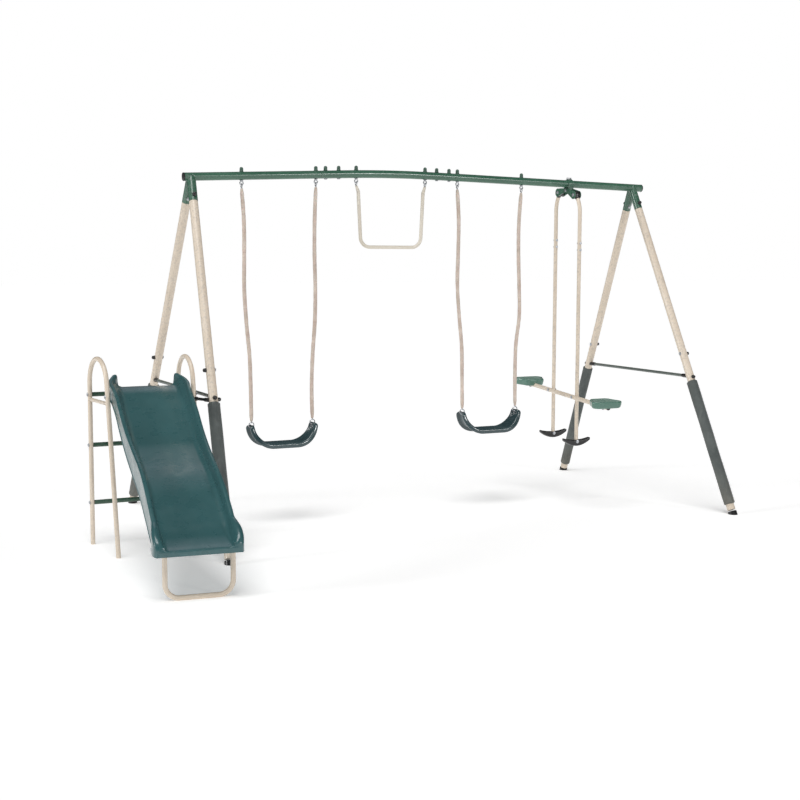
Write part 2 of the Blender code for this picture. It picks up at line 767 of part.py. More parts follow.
def make_hanger_eyes(finishes, body, hanger_stops):
    """Eye bolts through the top bar, each with a collar, its cap nut and an eye below."""
    for number, x in enumerate(sorted(hanger_stops), 1):
        hinge = hinge_point(x)
        bm = bmesh.new()
        add_ring(bm, hinge + Z_AXIS * EYE_RADIUS, Y_AXIS, EYE_RADIUS, EYE_WIRE, 10, 6)
        eye = finish(f"eye_bolt_{number}", bm, finishes["zinc_steel"], body)
        collar_top = HINGE_DROP - 2 * EYE_RADIUS - BAR_RADIUS - 2 * GAP
        cap_bottom = collar_top + 2 * BAR_RADIUS + 4 * GAP
        profile = [
            (0, -0.001),
            (BOLT_RADIUS, -0.001),
            (HEAD_RADIUS, EYE_WIRE),
            (HEAD_RADIUS, collar_top),
            (BOLT_RADIUS, collar_top),
            (BOLT_RADIUS, cap_bottom),
            (CAP_RADIUS, cap_bottom),
            (CAP_RADIUS, cap_bottom + CAP_HEIGHT * 0.62),
            (CAP_RADIUS * 0.6, cap_bottom + CAP_HEIGHT),
            (0, cap_bottom + CAP_HEIGHT),
        ]
        bm = bmesh.new()
        add_turned(bm, hinge + Z_AXIS * (2 * EYE_RADIUS), Z_AXIS, profile, SMALL_SIDES)
        apply_boolean(eye, bm, "UNION")


# ---------------------------------------------------------------- swings
SWINGS = (
    {
        "name": "swing_left",
        "hangers": (-1.073, -0.663),
        "ends": (-1.027, -0.692),
        "seat_height": 0.4245,
        "sway": (
            (0.004, 0.005, -0.0045, -0.0085, -0.001, 0.005),
            (-0.007, -0.0035, 0.006, 0.0055, -0.002, -0.004),
        ),
    },
    {
        "name": "swing_right",
        "hangers": (0.177, 0.586),
        "ends": (0.2325, 0.5475),
        "seat_height": 0.4365,
        "sway": (
            (0.0035, 0.0055, -0.006, -0.0125, -0.003, 0.005),
            (-0.0055, -0.006, 0.011, 0.004, -0.006, -0.009),
        ),
    },
)
TRAPEZE_HANGERS = (-0.432, -0.022)


def ring_centre(x):
    """Centre of the ring that hangs in the eye bolt at x."""
    return hinge_point(x) + Z_AXIS * (EYE_WIRE + RING_WIRE + RING_CLEARANCE - RING_RADIUS)


def hanging_ring(x):
    """Ring through the eye bolt at x, square to the bar."""
    bm = bmesh.new()
    add_ring(bm, ring_centre(x), X_AXIS, RING_RADIUS, RING_WIRE)
    return bm


def seat_path():
    """Sling path (across, up) with its outward normals, from one end to the other."""
    half = []
    for i in range(6):
        angle = SEAT_BEND_ANGLE * i / 5
        across = SEAT_FLAT + SEAT_BEND * math.sin(angle)
        half.append((across, SEAT_BEND * (1 - math.cos(angle)), angle))
    angle = SEAT_BEND_ANGLE
    across, up, _ = half[-1]
    half.append((across + SEAT_TAIL * math.cos(angle), up + SEAT_TAIL * math.sin(angle), angle))
    path = [(-across, up, -angle) for across, up, angle in reversed(half)]
    return path + half


def make_swing(swing, finishes, root):
    """One sling swing: the seat and its two sleeved chains."""
    name = swing["name"]
    centre_x = sum(swing["hangers"]) / 2
    body = make_body(f"{name}_body", hinge_point(centre_x), root)

    seat_x = sum(swing["ends"]) / 2
    base = Vector((seat_x, 0, swing["seat_height"]))
    last = seat_path()[-1][0]
    loops = []
    for across, up, angle in seat_path():
        middle = base + Vector((across, 0, up))
        outward = Vector((math.sin(angle), 0, -math.cos(angle)))
        taper = max(0.0, (abs(across) - SEAT_FLAT) / (last - SEAT_FLAT))
        half = (SEAT_WIDTH + (SEAT_END_WIDTH - SEAT_WIDTH) * taper**3) / 2
        inner = half - SEAT_FLANGE_WIDTH
        section = (
            (-half + 0.005, 0),
            (half - 0.005, 0),
            (half, 0.005),
            (half, SEAT_FLANGE),
            (inner, SEAT_FLANGE),
            (inner, SEAT_SKIN),
            (-inner, SEAT_SKIN),
            (-inner, SEAT_FLANGE),
            (-half, SEAT_FLANGE),
            (-half, 0.005),
        )
        loops.append([middle + Y_AXIS * a + outward * b for a, b in section])
    bm = bmesh.new()
    add_loft(bm, loops)
    seat = finish(f"{name}_seat", bm, finishes["seat_plastic"], body)

    across, up, angle = seat_path()[-1]
    holes = []
    for side, x in enumerate(swing["hangers"]):
        sign = 2 * side - 1
        edge = base + Vector((sign * across, 0, up))
        outward = Vector((sign * math.sin(angle), 0, -math.cos(angle)))
        along = Vector((sign * math.cos(angle), 0, math.sin(angle)))
        middle = edge + outward * (SEAT_SKIN / 2)
        holes.append((middle - along * SEAT_HOLE_BELOW_END, outward, 0.02))
        start = middle + Z_AXIS * SEAT_RING_RADIUS
        end = ring_centre(x) - Z_AXIS * RING_RADIUS
        side_name = ("left", "right")[side]
        chain = make_chain(
            f"{name}_chain_{side_name}", start, end, swing["sway"][side], finishes, body
        )
        ring = bmesh.new()
        add_ring(ring, middle, Y_AXIS, SEAT_RING_RADIUS, RING_WIRE, 12)
        apply_boolean(chain, ring, "UNION")
        apply_boolean(chain, hanging_ring(x), "UNION")
    drill(seat, holes, SEAT_HOLE_RADIUS)


def make_chain(name, start, end, sway, finishes, body):
    """Sleeved chain from the seat's ring up to the hanging ring, with a few soft waves in it."""
    route = [start]
    for i, offset in enumerate(sway):
        route.append(start.lerp(end, (i + 1) / (len(sway) + 1)) + X_AXIS * offset)
    route.append(end)
    path = smooth_route(route, CHAIN_STEPS)
    first = path[0].lerp(path[1], CHAIN_TAPER / (path[1] - path[0]).length)
    last = path[-1].lerp(path[-2], CHAIN_TAPER / (path[-1] - path[-2]).length)
    path = [path[0], first] + path[1:-1] + [last, path[-1]]
    radii = [CHAIN_RADIUS] * len(path)
    radii[0] = CHAIN_END_RADIUS
    radii[-1] = CHAIN_END_RADIUS
    bm = bmesh.new()
    add_rod(bm, path, radii, Y_AXIS, ROD_SIDES)
    return finish(name, bm, finishes["chain_sleeve"], body)


def smooth_route(route, steps):
    """Points of a smooth curve through a route."""
    points = []
    for i in range(len(route) - 1):
        before = route[max(i - 1, 0)]
        after = route[min(i + 2, len(route) - 1)]
        first = route[i] + (route[i + 1] - before) / 6
        second = route[i + 1] - (after - route[i]) / 6
        piece = interpolate_bezier(route[i], first, second, route[i + 1], steps + 1)
        points += piece[:-1]
    points.append(route[-1])
    return points


def make_trapeze(finishes, root):
    """Trapeze: a bent tube with a flat lug and a hanging ring at each end."""
    body = make_body("trapeze_body", hinge_point(TRAPEZE_X), root)
    lean = (TRAPEZE_TOP_HALF - TRAPEZE_BOTTOM_HALF) / (TRAPEZE_TOP - TRAPEZE_BOTTOM)
    corner = (TRAPEZE_BOTTOM_HALF - TRAPEZE_CORNER, TRAPEZE_BOTTOM + TRAPEZE_CORNER)
    half = [(TRAPEZE_TOP_HALF, TRAPEZE_TOP)]
    half += reversed(arc(corner, TRAPEZE_CORNER, -math.pi / 2, -math.atan(lean), 4))
    outline = half + [(-a, z) for a, z in reversed(half)]
    path = [Vector((TRAPEZE_X + a, 0, z)) for a, z in outline]
    bm = bmesh.new()
    inner = TRAPEZE_RADIUS - TRAPEZE_WALL
    add_tube(bm, path, TRAPEZE_RADIUS, inner, Y_AXIS, ROD_SIDES)
    bar = finish("trapeze_bar", bm, finishes["tan_paint"], body)
    for side, x in zip((-1, 1), TRAPEZE_HANGERS):
        top = ring_centre(x).z - RING_RADIUS + LUG_OVERLAP
        half_width = LUG_WIDTH / 2
        foot = TRAPEZE_X + side * (TRAPEZE_TOP_HALF - 0.001)
        outline = [
            (foot - half_width, TRAPEZE_TOP - 0.012),
            (foot + half_width, TRAPEZE_TOP - 0.012),
            (foot + half_width, TRAPEZE_TOP + 0.004),
            (x + half_width, top - 0.010),
            (x + half_width * 0.6, top),
            (x - half_width * 0.6, top),
            (x - half_width, top - 0.010),
            (foot - half_width, TRAPEZE_TOP + 0.004),
        ]
        bm = bmesh.new()
        add_extrusion(bm, outline, Vector((0, 0, 0)), X_AXIS, Z_AXIS, LUG_THICKNESS)
        apply_boolean(bar, bm, "UNION")
        apply_boolean(bar, hanging_ring(x), "UNION")


# ---------------------------------------------------------------- glider
def bracket_point(out, up, x=GLIDER_X):
    """Point of the glider's bracket, which is turned a little on the round bar."""
    middle = bar_point(GLIDER_X)
    y = out * math.cos(GLIDER_TILT) - up * math.sin(GLIDER_TILT)
    z = out * math.sin(GLIDER_TILT) + up * math.cos(GLIDER_TILT)
    return Vector((x, y, middle.z + z))


def arm_path(face):
    """Points of an arm's axis from its pivot down; face is the Y sign."""
    pivot = bracket_point(face * PIVOT_OUT, -PIVOT_DROP)
    turn = ARM_START_ANGLE + ARM_LEAN
    points = []
    steps = 6
    for i in range(steps + 1):
        angle = ARM_START_ANGLE - turn * i / steps
        out = ARM_BEND * (math.cos(angle) - math.cos(ARM_START_ANGLE))
        down = ARM_BEND * (math.sin(ARM_START_ANGLE) - math.sin(angle))
        points.append(pivot + Vector((0, face * out, -down)))
    return points


def arm_at(face, below):
    """Point on the straight stretch of an arm, measured down from its pivot."""
    pivot = arm_path(face)[0]
    last = arm_path(face)[-1]
    down = pivot.z - below
    return Vector((GLIDER_X, last.y - face * (last.z - down) * math.tan(ARM_LEAN), down))


def make_arm(name, face, body, finishes):
    """One swinging arm: a bent upper tube with its bolts, a straight lower tube, a footrest."""
    pivot = arm_path(face)[0]
    inner = ARM_RADIUS - ARM_WALL
    spigot = inner - 0.0004
    start = pivot + Vector((0, -face * 0.010, 0.010))
    bend = arm_path(face)
    bend[0] = start
    stops = [arm_at(face, d) for d in (ARM_SEAM - GAP,)]
    bm = bmesh.new()
    add_tube(bm, bend + stops, ARM_RADIUS, inner, X_AXIS, ROD_SIDES)
    upper = finish(f"{name}_upper_tube", bm, finishes["tan_paint"], body)
    drill(upper, [(pivot, X_AXIS, 0.04)], BOLT_HOLE + 0.0002)

    stops = [arm_at(face, d) for d in (ARM_SEAM - ARM_OVERLAP, ARM_SEAM, ARM_SEAM, ARM_LENGTH)]
    bm = bmesh.new()
    outer_radii = [spigot, spigot, ARM_RADIUS, ARM_RADIUS]
    inner_radii = [spigot - ARM_WALL, spigot - ARM_WALL, inner, inner]
    add_tube(bm, stops, outer_radii, inner_radii, X_AXIS, ROD_SIDES)
    lower = finish(f"{name}_lower_tube", bm, finishes["tan_paint"], body)

    rest_bolt = arm_at(face, ARM_LENGTH - 0.012)
    reach = ARM_RADIUS - SEATING / 2
    joint_bolts = [arm_at(face, ARM_SEAM - d) for d in (0.018, 0.056)]
    for middle in joint_bolts:
        bm = bmesh.new()
        add_bolt(bm, middle - Y_AXIS * reach, Y_AXIS, 2 * reach)
        apply_boolean(upper, bm, "UNION")
    drill(lower, [(middle, Y_AXIS, 0.04) for middle in joint_bolts + [rest_bolt]])
    hole = BOLT_HOLE if face < 0 else OPEN_PIVOT_HOLE
    drill(lower, [(arm_at(face, BEAM_BELOW_PIVOT), X_AXIS, 0.04)], hole)
    make_footrest(name, face, body, finishes, rest_bolt)


def make_footrest(name, face, body, finishes, rest_bolt):
    """Crescent footrest: a blind socket takes the arm's end and one bolt holds it."""
    bottom = arm_at(face, ARM_LENGTH)
    top = bottom + Z_AXIS * FOOTREST_SOCKET
    half = FOOTREST_WIDTH / 2
    steps = 8
    upper = []
    lower = []
    for i in range(steps + 1):
        a = -half + 2 * half * i / steps
        rise = FOOTREST_RISE * (a / half) ** 2
        thick = FOOTREST_TIP + (FOOTREST_MIDDLE - FOOTREST_TIP) * (1 - (a / half) ** 2)
        upper.append((a, rise))
        lower.append((a, rise - thick))
    outline = upper + lower[::-1]
    bm = bmesh.new()
    add_extrusion(bm, outline, top, X_AXIS, Z_AXIS, FOOTREST_DEPTH)
    rest = finish(f"{name}_footrest", bm, finishes["black_plastic"], body)
    bm = bmesh.new()
    ends = [bottom - Z_AXIS * 0.0004, top + Z_AXIS * 0.02]
    add_rod(bm, ends, ARM_RADIUS + 0.0008, X_AXIS, ROD_SIDES)
    apply_boolean(rest, bm)
    bm = bmesh.new()
    reach = FOOTREST_DEPTH / 2 - SEATING
    add_bolt(bm, rest_bolt - Y_AXIS * reach, Y_AXIS, 2 * reach)
    apply_boolean(rest, bm, "UNION")


def make_bracket(finishes, root):
    """Saddle strap and two lobed plates, with pivot bolts whose collars centre the arms."""
    middle = bar_point(GLIDER_X)
    across = bracket_point(1, 0) - bracket_point(0, 0)
    up = bracket_point(0, 1) - bracket_point(0, 0)
    plate_offset = (PLATE_SPACING + PLATE_THICKNESS) / 2
    lobe = (PIVOT_OUT, -PIVOT_DROP)
    half = [(0, -0.0475), (0.030, -0.0555)]
    half += arc(lobe, LOBE_RADIUS, math.radians(-115), math.radians(100), 8)
    half += [(0.045, -0.0270), (0, -0.0235)]
    outline = half[:-1] + [(-a, b) for a, b in reversed(half[1:])]
    pivots = [bracket_point(face * PIVOT_OUT, -PIVOT_DROP) for face in (-1, 1)]
    cross = bracket_point(0, -CROSS_BOLT_DROP)
    for name, side in (("left", -1), ("right", 1)):
        bm = bmesh.new()
        origin = middle + X_AXIS * (side * plate_offset)
        add_extrusion(bm, outline, origin, across, up, PLATE_THICKNESS)
        plate = finish(f"glider_plate_{name}", bm, finishes["green_paint"], root)
        if side < 0:
            bm = bmesh.new()
            reach = PLATE_SPACING / 2 + PLATE_THICKNESS
            start = cross - X_AXIS * (reach - SEATING)
            add_bolt(bm, start, X_AXIS, 2 * reach - SEATING + GAP)
            apply_boolean(plate, bm, "UNION")
            drill(plate, [(p, X_AXIS, 0.12) for p in pivots])
        else:
            drill(plate, [(p, X_AXIS, 0.04) for p in pivots + [cross]])

    inner = (BAR_RADIUS + SADDLE_CLEARANCE) / math.cos(math.pi / 16)
    outer = inner + STRAP_THICKNESS
    outline = [(outer, -STRAP_DROP)] + arc((0, 0), outer, 0, math.pi, 8) + [(-outer, -STRAP_DROP)]
    outline += [(-inner, -STRAP_DROP)] + arc((0, 0), inner, math.pi, 0, 8) + [(inner, -STRAP_DROP)]
    bm = bmesh.new()
    add_extrusion(bm, outline, middle, across, up, PLATE_SPACING - 2 * GAP)
    saddle = finish("glider_saddle", bm, finishes["green_paint"], root)
    for x in (GLIDER_X - SADDLE_BOLT_OUT, GLIDER_X + SADDLE_BOLT_OUT):
        bm = bmesh.new()
        start = bar_point(x) + Z_AXIS * (outer - SEATING)
        add_bolt(bm, start, -Z_AXIS, outer - SEATING + BAR_RADIUS + 2 * GAP)
        apply_boolean(saddle, bm, "UNION")

    reach = PLATE_SPACING / 2 + PLATE_THICKNESS + GAP
    for name, point in zip(("front", "rear"), pivots):
        stops = (
            (-reach - HEAD_HEIGHT, HEAD_RADIUS),
            (-reach, HEAD_RADIUS),
            (-reach, BOLT_RADIUS),
            (-PLATE_SPACING / 2 + GAP, BOLT_RADIUS),
            (-PLATE_SPACING / 2 + GAP, BEARING_RADIUS),
            (-ARM_RADIUS - 2 * GAP, BEARING_RADIUS),
            (-ARM_RADIUS - 2 * GAP, BOLT_RADIUS),
        )
        stops += tuple((-x, r) for x, r in reversed(stops))
        bm = bmesh.new()
        path = [point + X_AXIS * x for x, _ in stops]
        add_rod(bm, path, [r for _, r in stops], Z_AXIS, ROD_SIDES)
        finish(f"glider_{name}_pivot_bolt", bm, finishes["zinc_steel"], root)


def make_beam(body, finishes):
    """Beam beside the two arms, its pivot bolts, and the two seats on it."""
    front = arm_at(-1, BEAM_BELOW_PIVOT)
    rear = arm_at(1, BEAM_BELOW_PIVOT)
    along = (rear - front).normalized()
    up = X_AXIS.cross(along)
    offset = X_AXIS * -(ARM_RADIUS + BEAM_RADIUS + BEAM_CLEARANCE)
    middle = (front + rear) / 2 + offset
    ends = [middle - along * BEAM_FRONT, middle + along * BEAM_REAR]
    bm = bmesh.new()
    add_tube(bm, ends, BEAM_RADIUS, BEAM_RADIUS - BEAM_WALL, X_AXIS, ROD_SIDES)
    beam = finish("glider_beam", bm, finishes["tan_paint"], body)

    seats = (
        ("front", ends[0] + along * (GLIDER_SEAT_DEPTH / 2 - 0.010), -1),
        ("rear", ends[1] - along * (GLIDER_SEAT_DEPTH / 2 - 0.010), 1),
    )
    for name, point in (("front", front), ("rear", rear)):
        start = point + offset - X_AXIS * (BEAM_RADIUS + GAP)
        grip = 2 * BEAM_RADIUS + BEAM_CLEARANCE + 2 * ARM_RADIUS + 2 * GAP
        bm = bmesh.new()
        add_bolt(bm, start, X_AXIS, grip)
        finish(f"glider_beam_bolt_{name}", bm, finishes["zinc_steel"], body)
    drill(beam, [(point + offset, X_AXIS, 0.04) for point in (front, rear)])
    for name, centre, face in seats:
        make_glider_seat(name, centre, face, along, up, body, finishes)
    drill(beam, [(centre, up, 0.04) for _, centre, _ in seats])


def make_glider_seat(name, centre, face, along, up, body, finishes):
    """Moulded seat, wider at its outer edge, with a channel below that sits on the beam."""
    half_depth = GLIDER_SEAT_DEPTH / 2
    inner_half = GLIDER_SEAT_INNER_WIDTH / 2
    outer_half = GLIDER_SEAT_WIDTH / 2
    corner = GLIDER_SEAT_CORNER
    quarter = math.pi / 2
    outline = arc((inner_half - corner, corner - half_depth), corner, -quarter, 0, 3)
    outline += arc((outer_half - corner, half_depth - corner), corner, 0, quarter, 3)
    outline += [(-a, b) for a, b in reversed(outline)]
    levels = (
        (-GLIDER_SEAT_BELOW_AXIS, 0.94),
        (GLIDER_SEAT_TOP - 0.010, 1.0),
        (GLIDER_SEAT_TOP, 0.92),
    )
    loops = []
    for level, scale in levels:
        loops.append(
            [centre + X_AXIS * (a * scale) + along * (face * b * scale) + up * level for a, b in outline]
        )
    bm = bmesh.new()
    add_loft(bm, loops)
    seat = finish(f"glider_seat_{name}", bm, finishes["glider_plastic"], body)
    bm = bmesh.new()
    reach = along * 0.12
    groove = BEAM_RADIUS + 0.0006
    add_rod(bm, [centre - reach, centre + reach], groove, X_AXIS, ROD_SIDES)
    block = [(groove * 0.92, 0), (groove * 0.92, -0.03), (-groove * 0.92, -0.03), (-groove * 0.92, 0)]
    channel = bmesh.new()
    add_extrusion(channel, block, centre, X_AXIS, up, 0.24)
    apply_boolean(seat, bm)
    apply_boolean(seat, channel)
    bm = bmesh.new()
    start = centre - up * (BEAM_RADIUS + GAP)
    add_bolt(bm, start, up, 2 * BEAM_RADIUS, nut=False)
    apply_boolean(seat, bm, "UNION")


def make_glider(finishes, root):
    """Glider: fixed bracket, two arms and the beam, which hangs between them."""
    make_bracket(finishes, root)
    bodies = {}
    for name, face in (("glider_front_arm", -1), ("glider_rear_arm", 1)):
        body = make_body(f"{name}_body", arm_path(face)[0], root)
        make_arm(name, face, body, finishes)
        bodies[face] = body
    front = arm_at(-1, BEAM_BELOW_PIVOT)
    beam_body = make_body("glider_beam_body", front - bodies[-1].location, bodies[-1])
    make_beam(beam_body, finishes)


# ---------------------------------------------------------------- ladder and slide
def side_frame_path():
    """Ladder side (forward, up): rear foot, arch, front foot; forward is towards the slide."""
    lean = math.atan2(LADDER_SPREAD - 2 * ARCH_RADIUS, LADDER_ARCH_TOP - ARCH_RADIUS) * 1.02
    centre = (ARCH_RADIUS, LADDER_ARCH_TOP - ARCH_RADIUS)
    points = [(0, 0)]
    points += arc(centre, ARCH_RADIUS, math.pi, lean, 9)
    points.append((LADDER_SPREAD, POST_RADIUS * math.sin(lean)))
    return points


def front_post_at(height):
    """Forward distance of the front post's axis at a height."""
    points = side_frame_path()
    top = points[-2]
    foot = points[-1]
    return foot[0] + (top[0] - foot[0]) * (height - foot[1]) / (top[1] - foot[1])


def side_vector(side):
    """Level direction from a ladder side's rear post to its front post."""
    turn = LADDER_TOE_IN if side < 0 else 0.0
    return Vector((math.sin(turn), -math.cos(turn), 0))


def side_base(side):
    """Rear foot of a ladder side."""
    return Vector((LADDER_LEFT_X if side < 0 else LADDER_RIGHT_X, LADDER_REAR_Y, 0))


def make_ladder(finishes, body):
    """Two arched side frames joined by three rungs."""
    for name, side in (("left", -1), ("right", 1)):
        forward = side_vector(side)
        base = side_base(side)
        normal = forward.cross(Z_AXIS)
        path = [base + forward * a + Z_AXIS * z for a, z in side_frame_path()]
        bm = bmesh.new()
        add_rod(bm, path, POST_RADIUS, normal, ROD_SIDES)
        frame = finish(f"ladder_side_{name}", bm, finishes["tan_paint"], body)
        strut = bmesh.new()
        ends = [
            base + Z_AXIS * STRUT_HEIGHT,
            base + forward * front_post_at(STRUT_HEIGHT) + Z_AXIS * STRUT_HEIGHT,
        ]
        add_rod(strut, ends, STRUT_RADIUS, normal, ROD_SIDES)
        apply_boolean(frame, strut, "UNION")
        bore = bmesh.new()
        path[0] -= Z_AXIS * 0.01
        path[-1] += (path[-1] - path[-2]).normalized() * 0.01
        add_rod(bore, path, POST_RADIUS - POST_WALL, normal, ROD_SIDES)
        apply_boolean(frame, bore)
        drill(frame, [(base + Z_AXIS * height, X_AXIS, 0.04) for _, height in RUNG_HEIGHTS])
        start, along, grip = deck_bolt(side)
        bm = bmesh.new()
        add_bolt(bm, start - slide_across() * (side * SEATING), -slide_across() * side, grip)
        apply_boolean(frame, bm, "UNION")
    for name, height in RUNG_HEIGHTS:
        make_rung(name, height, finishes, body)


def make_rung(name, height, finishes, body):
    """Rung between the rear posts: a closed tube with a bolt out through each post."""
    clear = X_AXIS * (POST_RADIUS + GAP)
    left = side_base(-1) + clear + Z_AXIS * height
    right = side_base(1) - clear + Z_AXIS * height
    bm = bmesh.new()
    add_rod(bm, [left, right], RUNG_RADIUS, Z_AXIS, ROD_SIDES)
    rung = finish(f"ladder_rung_{name}", bm, finishes["rung_paint"], body)
    wall = X_AXIS * RUNG_PLUG
    hollow_out(rung, [left + wall, right - wall], RUNG_RADIUS - POST_WALL, Z_AXIS)
    for end, outward in ((left, -X_AXIS), (right, X_AXIS)):
        start = end + outward * (2 * POST_RADIUS + 2 * GAP)
        bm = bmesh.new()
        add_bolt(bm, start, -outward, 2 * POST_RADIUS + 2 * GAP + RUNG_PLUG / 2, nut=False)
        apply_boolean(rung, bm, "UNION")


def slide_across():
    """Level direction across the slide."""
    return Vector((math.cos(SLIDE_TURN), math.sin(SLIDE_TURN), 0))


def slide_along():
    """Level direction down the slide."""
    return Vector((math.sin(SLIDE_TURN), -math.cos(SLIDE_TURN), 0))


def slide_point(across, along, z):
    """Point in the slide's own directions."""
    start = Vector((SLIDE_X, SLIDE_Y, 0))
    return start + slide_across() * across + slide_along() * along + Z_AXIS * z


def slide_value(along, column):
    """Value of a SLIDE_SHAPE column at a distance down the slide, on a smooth curve."""
    rows = SLIDE_SHAPE
    i = 0
    while i < len(rows) - 2 and rows[i + 1][0] < along:
        i += 1
    before = rows[max(i - 1, 0)]
    start = rows[i]
    end = rows[i + 1]
    after = rows[min(i + 2, len(rows) - 1)]
    span = end[0] - start[0]
    slope_start = (end[column] - before[column]) / (end[0] - before[0])
    slope_end = (after[column] - start[column]) / (after[0] - start[0])
    t = (along - start[0]) / span
    return (
        start[column] * (1 + 2 * t) * (1 - t) ** 2
        + slope_start * span * t * (1 - t) ** 2
        + end[column] * t**2 * (3 - 2 * t)
        + slope_end * span * t**2 * (t - 1)
    )


def slide_floor(along):
    """Height of the slide's wavy floor."""
    return slide_value(along, 1)


def slide_section(along, depth=SLIDE_SKIN):
    """Chute section (across, above floor): top skin from right to left, then the underside."""
    half = slide_value(along, 2)
    rail = slide_value(along, 3)
    skirt = slide_value(along, 4)
    floor = min(SLIDE_FLOOR_HALF, half - SLIDE_WALL)
    t = SLIDE_SKIN
    right = [
        (floor - 0.012, 0.0),
        (floor + 0.005, rail * 0.16),
        (half - 0.018, rail - 0.003),
        (half - 0.011, rail),
        (half - 0.004, rail - 0.003),
        (half, rail - 0.012),
        (half, -skirt),
        (half - t, -skirt),
        (half - t, rail - 0.015),
        (half - 0.014, rail - 0.009),
        (floor + 0.009, rail * 0.16 - depth),
        (floor - 0.010, -depth),
    ]
    return right + [(-a, b) for a, b in reversed(right)]


def make_slide(finishes, body):
    """Moulded chute, its base loop, and the tie from the ladder to the swing frame."""
    loops = []
    lip = SLIDE_LENGTH - LIP_THICKNESS
    stations = [(row[0], SLIDE_SKIN) for row in SLIDE_SHAPE[:-1]]
    gaps = zip(SLIDE_SHAPE, SLIDE_SHAPE[1:])
    stations += [((a[0] + b[0]) / 2, SLIDE_SKIN) for a, b in gaps if b[0] - a[0] > 0.1]
    stations += [(lip, SLIDE_SKIN), (lip + LIP_ROOT, LIP_DEPTH), (SLIDE_LENGTH, LIP_DEPTH)]
    for along, depth in sorted(stations):
        floor = slide_floor(along)
        section = slide_section(along, depth)
        loops.append([slide_point(a, along, floor + b) for a, b in section])
    bm = bmesh.new()
    add_loft(bm, loops)
    slide = finish("slide", bm, finishes["slide_plastic"], body)

    half = BASE_HALF
    corner = BASE_CORNER
    outline = [(half, BASE_TOP)]
    outline += reversed(arc((half - corner, BASE_RADIUS + corner), corner, -math.pi / 2, 0, 4))
    outline += [(-a, b) for a, b in reversed(outline)]
    path = [slide_point(a + BASE_SHIFT, BASE_ALONG, z) for a, z in outline]
    bm = bmesh.new()
    add_tube(bm, path, BASE_RADIUS, BASE_RADIUS - POST_WALL, slide_along(), ROD_SIDES)
    base = finish("slide_base", bm, finishes["tan_paint"], body)

    holes = []
    for side in (-1, 1):
        outward = slide_across() * side
        exit_half = abs(slide_edge(side, BASE_ALONG))
        reach = exit_half + FLARE_ALLOWANCE
        start = slide_point(side * reach, BASE_ALONG, BASE_BOLT_HEIGHT)
        grip = reach - BASE_HALF - side * BASE_SHIFT
        bm = bmesh.new()
        add_bolt(bm, start, -outward, grip, nut=False)
        apply_boolean(base, bm, "UNION")
        holes.append((slide_point(side * exit_half, BASE_ALONG, BASE_BOLT_HEIGHT), outward, 0.03))
        start, along, _ = deck_bolt(side)
        edge = slide_point(slide_edge(side, along), along, SLIDE_BOLT_HEIGHT)
        holes.append((edge, outward, 0.03))
    drill(slide, holes)
    make_tie(finishes, body)


def slide_edge(side, along):
    """Outer face of the slide's skirt, across from its middle."""
    return side * max(a for a, _ in slide_section(along))


def deck_bolt(side):
    """Bolt from a front post through the slide's skirt: start, distance down the slide, grip."""
    forward = side_vector(side)
    post = side_base(side) + forward * front_post_at(SLIDE_BOLT_HEIGHT)
    post += Z_AXIS * SLIDE_BOLT_HEIGHT
    outward = slide_across() * side
    start = post + outward * POST_RADIUS
    offset = start - slide_point(0, 0, SLIDE_BOLT_HEIGHT)
    along = offset.dot(slide_along())
    grip = offset.dot(outward) - abs(slide_edge(side, along)) + SLIDE_SKIN + FLARE_ALLOWANCE
    return start, along, grip


def tie_ends():
    """Centres of the post and the leg that the tie joins."""
    post = side_base(1) + side_vector(1) * front_post_at(TIE_HEIGHT) + Z_AXIS * TIE_HEIGHT
    return post, leg_at_height(-1, -1, TIE_HEIGHT)


def make_tie(finishes, body):
    """Short tie from the ladder's right side to the frame's front left leg, bolted through it."""
    post, leg = tie_ends()
    end = leg - X_AXIS * (LEG_RADIUS + TIE_RADIUS / 2)
    direction = (end - post).normalized()
    start = post + direction * (POST_RADIUS * 1.12 + GAP)
    bm = bmesh.new()
    add_rod(bm, [start, end + direction * TIE_RADIUS], TIE_RADIUS, Z_AXIS, ROD_SIDES)
    tie = finish("ladder_tie", bm, finishes["black_plastic"], body)
    bm = bmesh.new()
    ends = [leg_at_height(-1, -1, 0.6), leg_at_height(-1, -1, 0.8)]
    add_rod(bm, ends, LEG_RADIUS + 0.0004, X_AXIS, TUBE_SIDES)
    apply_boolean(tie, bm)
    stand_off = LEG_RADIUS * 1.01 + GAP
    bm = bmesh.new()
    add_bolt(bm, leg + X_AXIS * stand_off, -X_AXIS, 2 * stand_off + TIE_RADIUS, nut=False)
    apply_boolean(tie, bm, "UNION")


# ---------------------------------------------------------------- assembly
def centre_on_footprint(root):
    """Move the set so that the origin is the bottom centre of its bounding box."""
    bpy.context.view_layer.update()
    depsgraph = bpy.context.evaluated_depsgraph_get()
    low = Vector((math.inf,) * 3)
    high = Vector((-math.inf,) * 3)
    for part in bpy.context.scene.objects:
        if part.type == "EMPTY":
            continue
        evaluated = part.evaluated_get(depsgraph)
        mesh = evaluated.to_mesh()
        for vertex in mesh.vertices:
            point = evaluated.matrix_world @ vertex.co
            low = Vector(map(min, low, point))
            high = Vector(map(max, high, point))
        evaluated.to_mesh_clear()
    root.location = (-(low.x + high.x) / 2, -(low.y + high.y) / 2, -low.z)


